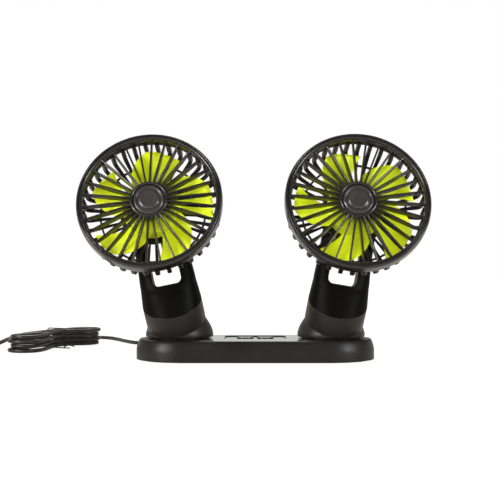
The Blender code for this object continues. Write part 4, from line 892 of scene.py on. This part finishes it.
# Every section is a rounded rectangle of its own squareness: x = a |cos t|^(2/n), y = b |sin t|^(2/n)
def forkForm():
    f = forkSetup
    steps = 112
    t = math.tau * np.arange(steps) / steps
    table = np.array(f["sections"])
    crown = np.sin(np.linspace(0, math.pi / 2, 15)[:-1]) * f["halfDepth"] * 0.99 / f["length"]
    heights = np.concatenate([np.linspace(0.06, 0.98, 44), 1 + crown])
    keyed = np.array([np.interp(heights, table[:, 0], table[:, column]) for column in range(1, 6)])
    width, depth, back, slope, square = keyed[:, :, None]
    above = np.clip((heights[:, None] - 1) * f["length"] / f["halfDepth"], 0, 0.999)
    depth = depth * np.sqrt(1 - above ** 2)
    x = f["halfWidth"] * width * pulled(np.cos(t), 2 / square)
    y = f["setback"] * back + f["halfDepth"] * depth * pulled(np.sin(t), 2 / square)
    z = f["length"] * heights[:, None] + y * math.tan(elbowSlope) * slope
    body = np.stack([x, y, z], axis=-1)[f["seamRows"]:]
    seam = np.column_stack([circleSection(f["seamRadius"], steps), np.full(steps, f["seamGap"])])
    seam = seam @ rotation(elbowSlope, "X")[:3, :3].T
    shares = np.linspace(0, 1, f["seamRows"] + 1)[:-1, None, None]
    return cappedForm(np.concatenate([seam[None] * (1 - shares) + body[0][None] * shares, body]))


def windowForm():
    f = forkSetup
    height = f["windowDrop"] + f["windowRise"]
    outline = roundedRectangle(f["windowWidth"], height, f["windowCorner"], 10) + (0, height / 2 - f["windowDrop"])
    turn = rotation(math.pi / 2 + math.radians(f["windowSlope"]), "X")
    return moved(slabForm(outline, f["flare"]), translation(0, f["setback"], f["length"]) @ turn)


def makeArm(side, arm):
    f = forkSetup
    mesh = combined(meshFrom("fork", forkForm()), windowForm())
    for turn in (0, math.pi):
        place = translation(0, f["setback"], f["length"]) @ rotation(math.pi / 2, "Y") @ rotation(turn, "Y")
        mesh = combined(mesh, moved(cylinderForm(*f["sink"], 48), place))
    mesh.transform(metreMatrix(arm))
    dress(side + "Fork", mesh, "armBlackPlastic", "gloss_black_plastic", side + "_arm", side + "_fork")


# Base: a hollow shell with a skirt and a softly rounded top edge
baseSetup = {
    "length": 180.0, "width": 70.0, "height": 16.0, "wall": 2.2, "skirt": 8.4, "inset": 3.2, "lift": 0.6, "edge": 0.3,
    "side": ((0.0, 0.0), (0.45, 0.24), (0.8, 0.54), (0.95, 0.8), (1.0, 1.0)),
    "postSpacing": 114.8, "postHole": 16.3, "panel": (46.0, 34.0, 5.0), "panelGap": 0.6, "panelDepth": 1.7,
    "panelBack": 6.0, "buttonHole": 6.6, "buttonSpacing": 15.3, "holeEnds": (8.0, 20.0)}
panelSetup = {"thickness": 0.8, "edge": 0.25, "lowEdge": 0.05, "drop": 0.6}
buttonSetup = {
    "radius": 6.3, "rise": 0.35, "dish": 0.3, "flange": 7.5, "flangeTop": 13.5, "flangeLow": 12.5,
    "stem": 2.6, "stemLow": 11.3}
sleeveSetup = {
    "place": (-19.0, 35.0, 8.4), "length": 16.0, "radii": (3.4, 2.3), "rings": (0.3, 6, 0.35, (0.08, 0.94)),
    "flange": ((0, -6.9), (4.0, -6.9), (4.0, -5.7), (3.4, -5.7))}


def roundCutter(radius, x, y=0.0):
    return shifted(cylinderForm(radius, *baseSetup["holeEnds"], 72), x, y)


def buttonCutter(sign):
    b = baseSetup
    return roundCutter(b["buttonHole"], sign * b["buttonSpacing"] / 2, b["panelBack"])


def baseMesh():
    b = baseSetup
    rise = b["height"] - b["skirt"]
    curve = [(b["inset"] * inset, b["skirt"] + rise * share) for share, inset in b["side"]]
    corners = [(0.6, b["lift"]), (0, b["lift"]), (0, b["skirt"] * 0.5), *curve, (b["inset"] + 3, b["height"])]
    outer = softened(corners, [0, 0.3, 1, 1.5, 2, 1, 0.3, b["edge"], 0], 4, closed=False)
    deep, roof = b["inset"] + b["wall"], b["height"] - b["wall"]
    inner = [(deep + 1, roof), (deep, roof), (b["wall"], b["skirt"] - 0.6), (b["wall"], b["lift"])]
    mesh = meshFrom("base", slabForm(stadiumOutline(b["length"], b["width"]), [*outer[::-1], *reversed(inner)]))
    length, width, corner = b["panel"]
    recess = roundedRectangle(length + b["panelGap"], width + b["panelGap"], corner)
    cutters = [shifted(slabForm(recess, [(0, b["height"] - b["panelDepth"]), (0, b["height"] + 2)]), 0, b["panelBack"])]
    for sign in (-1, 1):
        cutters += [buttonCutter(sign), roundCutter(b["postHole"], sign * b["postSpacing"] / 2)]
    for cutter in cutters:
        mesh = combined(mesh, cutter)
    return mesh


def panelMesh():
    b, p = baseSetup, panelSetup
    top = b["height"] - p["drop"]
    levels = roundedLevels(top - p["thickness"], top, p["edge"], 3, p["lowEdge"])
    mesh = meshFrom("panel", shifted(slabForm(roundedRectangle(*b["panel"]), levels), 0, b["panelBack"]))
    for sign in (-1, 1):
        mesh = combined(mesh, buttonCutter(sign))
    return mesh


def buttonForm():
    k = buttonSetup
    high = baseSetup["height"] + k["rise"]
    corners = [
        (0, high - k["dish"], 0), (3.6, high - 0.2, 2), (5.8, high, 0.4), (k["radius"], high - 0.2, 0.2),
        (k["radius"], k["flangeTop"], 0.2), (k["flange"], k["flangeTop"], 0.1), (k["flange"], k["flangeLow"], 0.1),
        (k["stem"], k["flangeLow"], 0.1), (k["stem"], k["stemLow"], 0.1), (0, k["stemLow"], 0)]
    return turnedForm(softCorners(corners, 5), 72)


def makeBase():
    b, s = baseSetup, sleeveSetup
    dress("baseShell", baseMesh(), "baseBlackPlastic", "satin_black_plastic", "base", "base_shell")
    dress("controlPanel", panelMesh(), "glossBlackPlastic", "gloss_black_plastic", "base", "control_panel")
    for side, sign in zip(sides, (-1, 1)):
        button = shifted(buttonForm(), sign * b["buttonSpacing"] / 2, b["panelBack"])
        dress(side + "Button", button, "glossBlackPlastic", "gloss_black_plastic", side + "_button", side + "_button")
    z = np.linspace(0, s["length"], 97)
    sleeve = sleeveForm(z, z / s["length"], *s["radii"], s["rings"], s["flange"], [(0, s["length"])])
    sleeve = moved(sleeve, translation(*s["place"]) @ rotation(-math.pi / 2, "X"))
    dress("cordSleeve", sleeve, "blackRubber", "black_rubber", "base", "cord_grommet")


makeBase()
print("base dressed")
for side in sides:
    post, arm, head = restFrames(side)
    pedestal = postMesh()
    pedestal.transform(metreMatrix(post))
    name = side + "_pedestal"
    dress(side + "Pedestal", pedestal, "postBlackPlastic", "satin_black_plastic", name, name)
    makeArm(side, arm)
    makeHead(side, head)
    print(side, "side dressed")


# Solid parts that keep their own mesh get the finish of their kind
slotFinish = {
    "satin_black_plastic": "satinBlackPlastic", "gloss_black_plastic": "glossBlackPlastic",
    "lime_plastic": "limePlastic", "black_rubber": "blackRubber", "plain_steel": "plainSteel",
    "bronze_bush": "bronzeBush", "pale_nylon": "darkNylon",
    "green_board": "greenBoard", "cord_jacket": "cordJacket"}
for entry in frame["record"]["subparts"]:
    item = frame["nodes"][entry["node"]]
    item.data.materials.clear()
    item.data.materials.append(finishes[slotFinish[entry["material_slot"]]])
print("solid parts given their finishes")


# Floor, backdrop and lights, in metres. Each lamp is a name, place, size, power, colour and whether it shows in gloss
stageSetup = {
    "floorColour": (0.56, 0.53, 0.49), "floorRoughness": 0.65, "floorSpecular": 0.15,
    "glowColour": (1.0, 0.996, 0.985), "glow": 1.13, "cameraShare": 0.78,
    "fade": (0.30, 0.80), "floorSize": 6.0, "worldBack": (-0.2, 0.5), "worldStrength": (0.09, 0.95),
    "worldFall": (0.10, 0.26), "worldHigh": 0.22, "aim": (0.0, 0.0, 0.08),
    "lamps": (
        ("topLamp", (-0.15, 0.60, 0.95), (0.9, 0.6), 18.0, (1.0, 0.985, 0.96), True),
        ("leftLamp", (-1.0, -0.85, 0.42), (0.30, 0.40), 20.0, (1.0, 0.975, 0.94), True),
        ("rightLamp", (1.0, -0.80, 0.42), (0.28, 0.36), 15.0, (0.97, 0.985, 1.0), True),
        ("fillLamp", (-0.2, -1.30, 0.45), (0.8, 0.6), 15.0, (1.0, 0.99, 0.97), False))}


# The camera sees the floor as part matt and part glowing, and wholly glowing far away, where it meets the backdrop
def makeFloor():
    s = stageSetup
    u = np.linspace(-s["floorSize"] / 2, s["floorSize"] / 2, 13)
    x, y = np.meshgrid(u, u, indexing="ij")
    points, quads = gridForm(np.stack([x, y, np.zeros_like(x)], axis=-1), wrapColumns=False)
    mesh = bpy.data.meshes.new("floor")
    mesh.from_pydata(points.tolist(), [], quads[:, ::-1].tolist())
    floor = looseObject("floor", mesh)
    material, tree, shader = newMaterial("paleFloor")
    feed(tree, shader, {
        "Base Color": (*s["floorColour"], 1), "Roughness": s["floorRoughness"],
        "Specular IOR Level": s["floorSpecular"]})
    glow = addNode(tree, "Emission", {"Color": (*s["glowColour"], 1), "Strength": s["glow"]})
    rays = addNode(tree, "LightPath")
    place = addNode(tree, "TexCoord")
    distance = addNode(tree, "VectorMath", {0: (place, "Object")}, operation="LENGTH")
    fade = addRange(tree, (distance, "Value"), s["fade"], (s["cameraShare"], 1.0), "SMOOTHSTEP")
    share = addProduct(tree, (rays, "Is Camera Ray"), (fade, "Result"))
    blend = addNode(tree, "MixShader", {"Fac": (share, "Value"), 1: (shader, "BSDF"), 2: (glow, "Emission")})
    feed(tree, tree.nodes["Material Output"], {"Surface": (blend, "Shader")})
    mesh.materials.append(material)


# The backdrop is bright low down behind the object and dim in front and above, and plain white to the camera
def makeWorld():
    s = stageSetup
    world = bpy.data.worlds.new("studio")
    world.use_nodes = True
    bpy.context.scene.world = world
    tree = world.node_tree
    place = addNode(tree, "TexCoord")
    split = addNode(tree, "SeparateXYZ", {"Vector": (place, "Generated")})
    back = addRange(tree, (split, "Y"), s["worldBack"], s["worldStrength"], "SMOOTHSTEP")
    fall = addRange(tree, (split, "Z"), s["worldFall"], (1.0, s["worldHigh"]), "SMOOTHSTEP")
    both = addProduct(tree, (back, "Result"), (fall, "Result"))
    rays = addNode(tree, "LightPath")
    seen = addNode(tree, "Mix", {"Factor": (rays, "Is Camera Ray"), "A": (both, "Value"), "B": 1.0}, data_type="FLOAT")
    feed(tree, tree.nodes["Background"], {"Color": (1, 1, 1, 1), "Strength": (seen, "Result")})


def makeLamps():
    for name, place, size, power, colour, highlights in stageSetup["lamps"]:
        data = bpy.data.lights.new(name, "AREA")
        data.shape, data.size, data.size_y = "RECTANGLE", size[0], size[1]
        data.energy, data.color = power, colour
        lamp = bpy.data.objects.new(name, data)
        lamp.location = place
        lamp.visible_glossy = highlights
        x, y, z = unit(np.subtract(stageSetup["aim"], place))
        lamp.rotation_euler = (math.acos(-z), 0, math.atan2(x, -y) + math.pi)
        bpy.context.scene.collection.objects.link(lamp)


makeFloor()
makeWorld()
makeLamps()
bpy.context.scene.view_settings.view_transform = "Standard"
print("floor and lights made")
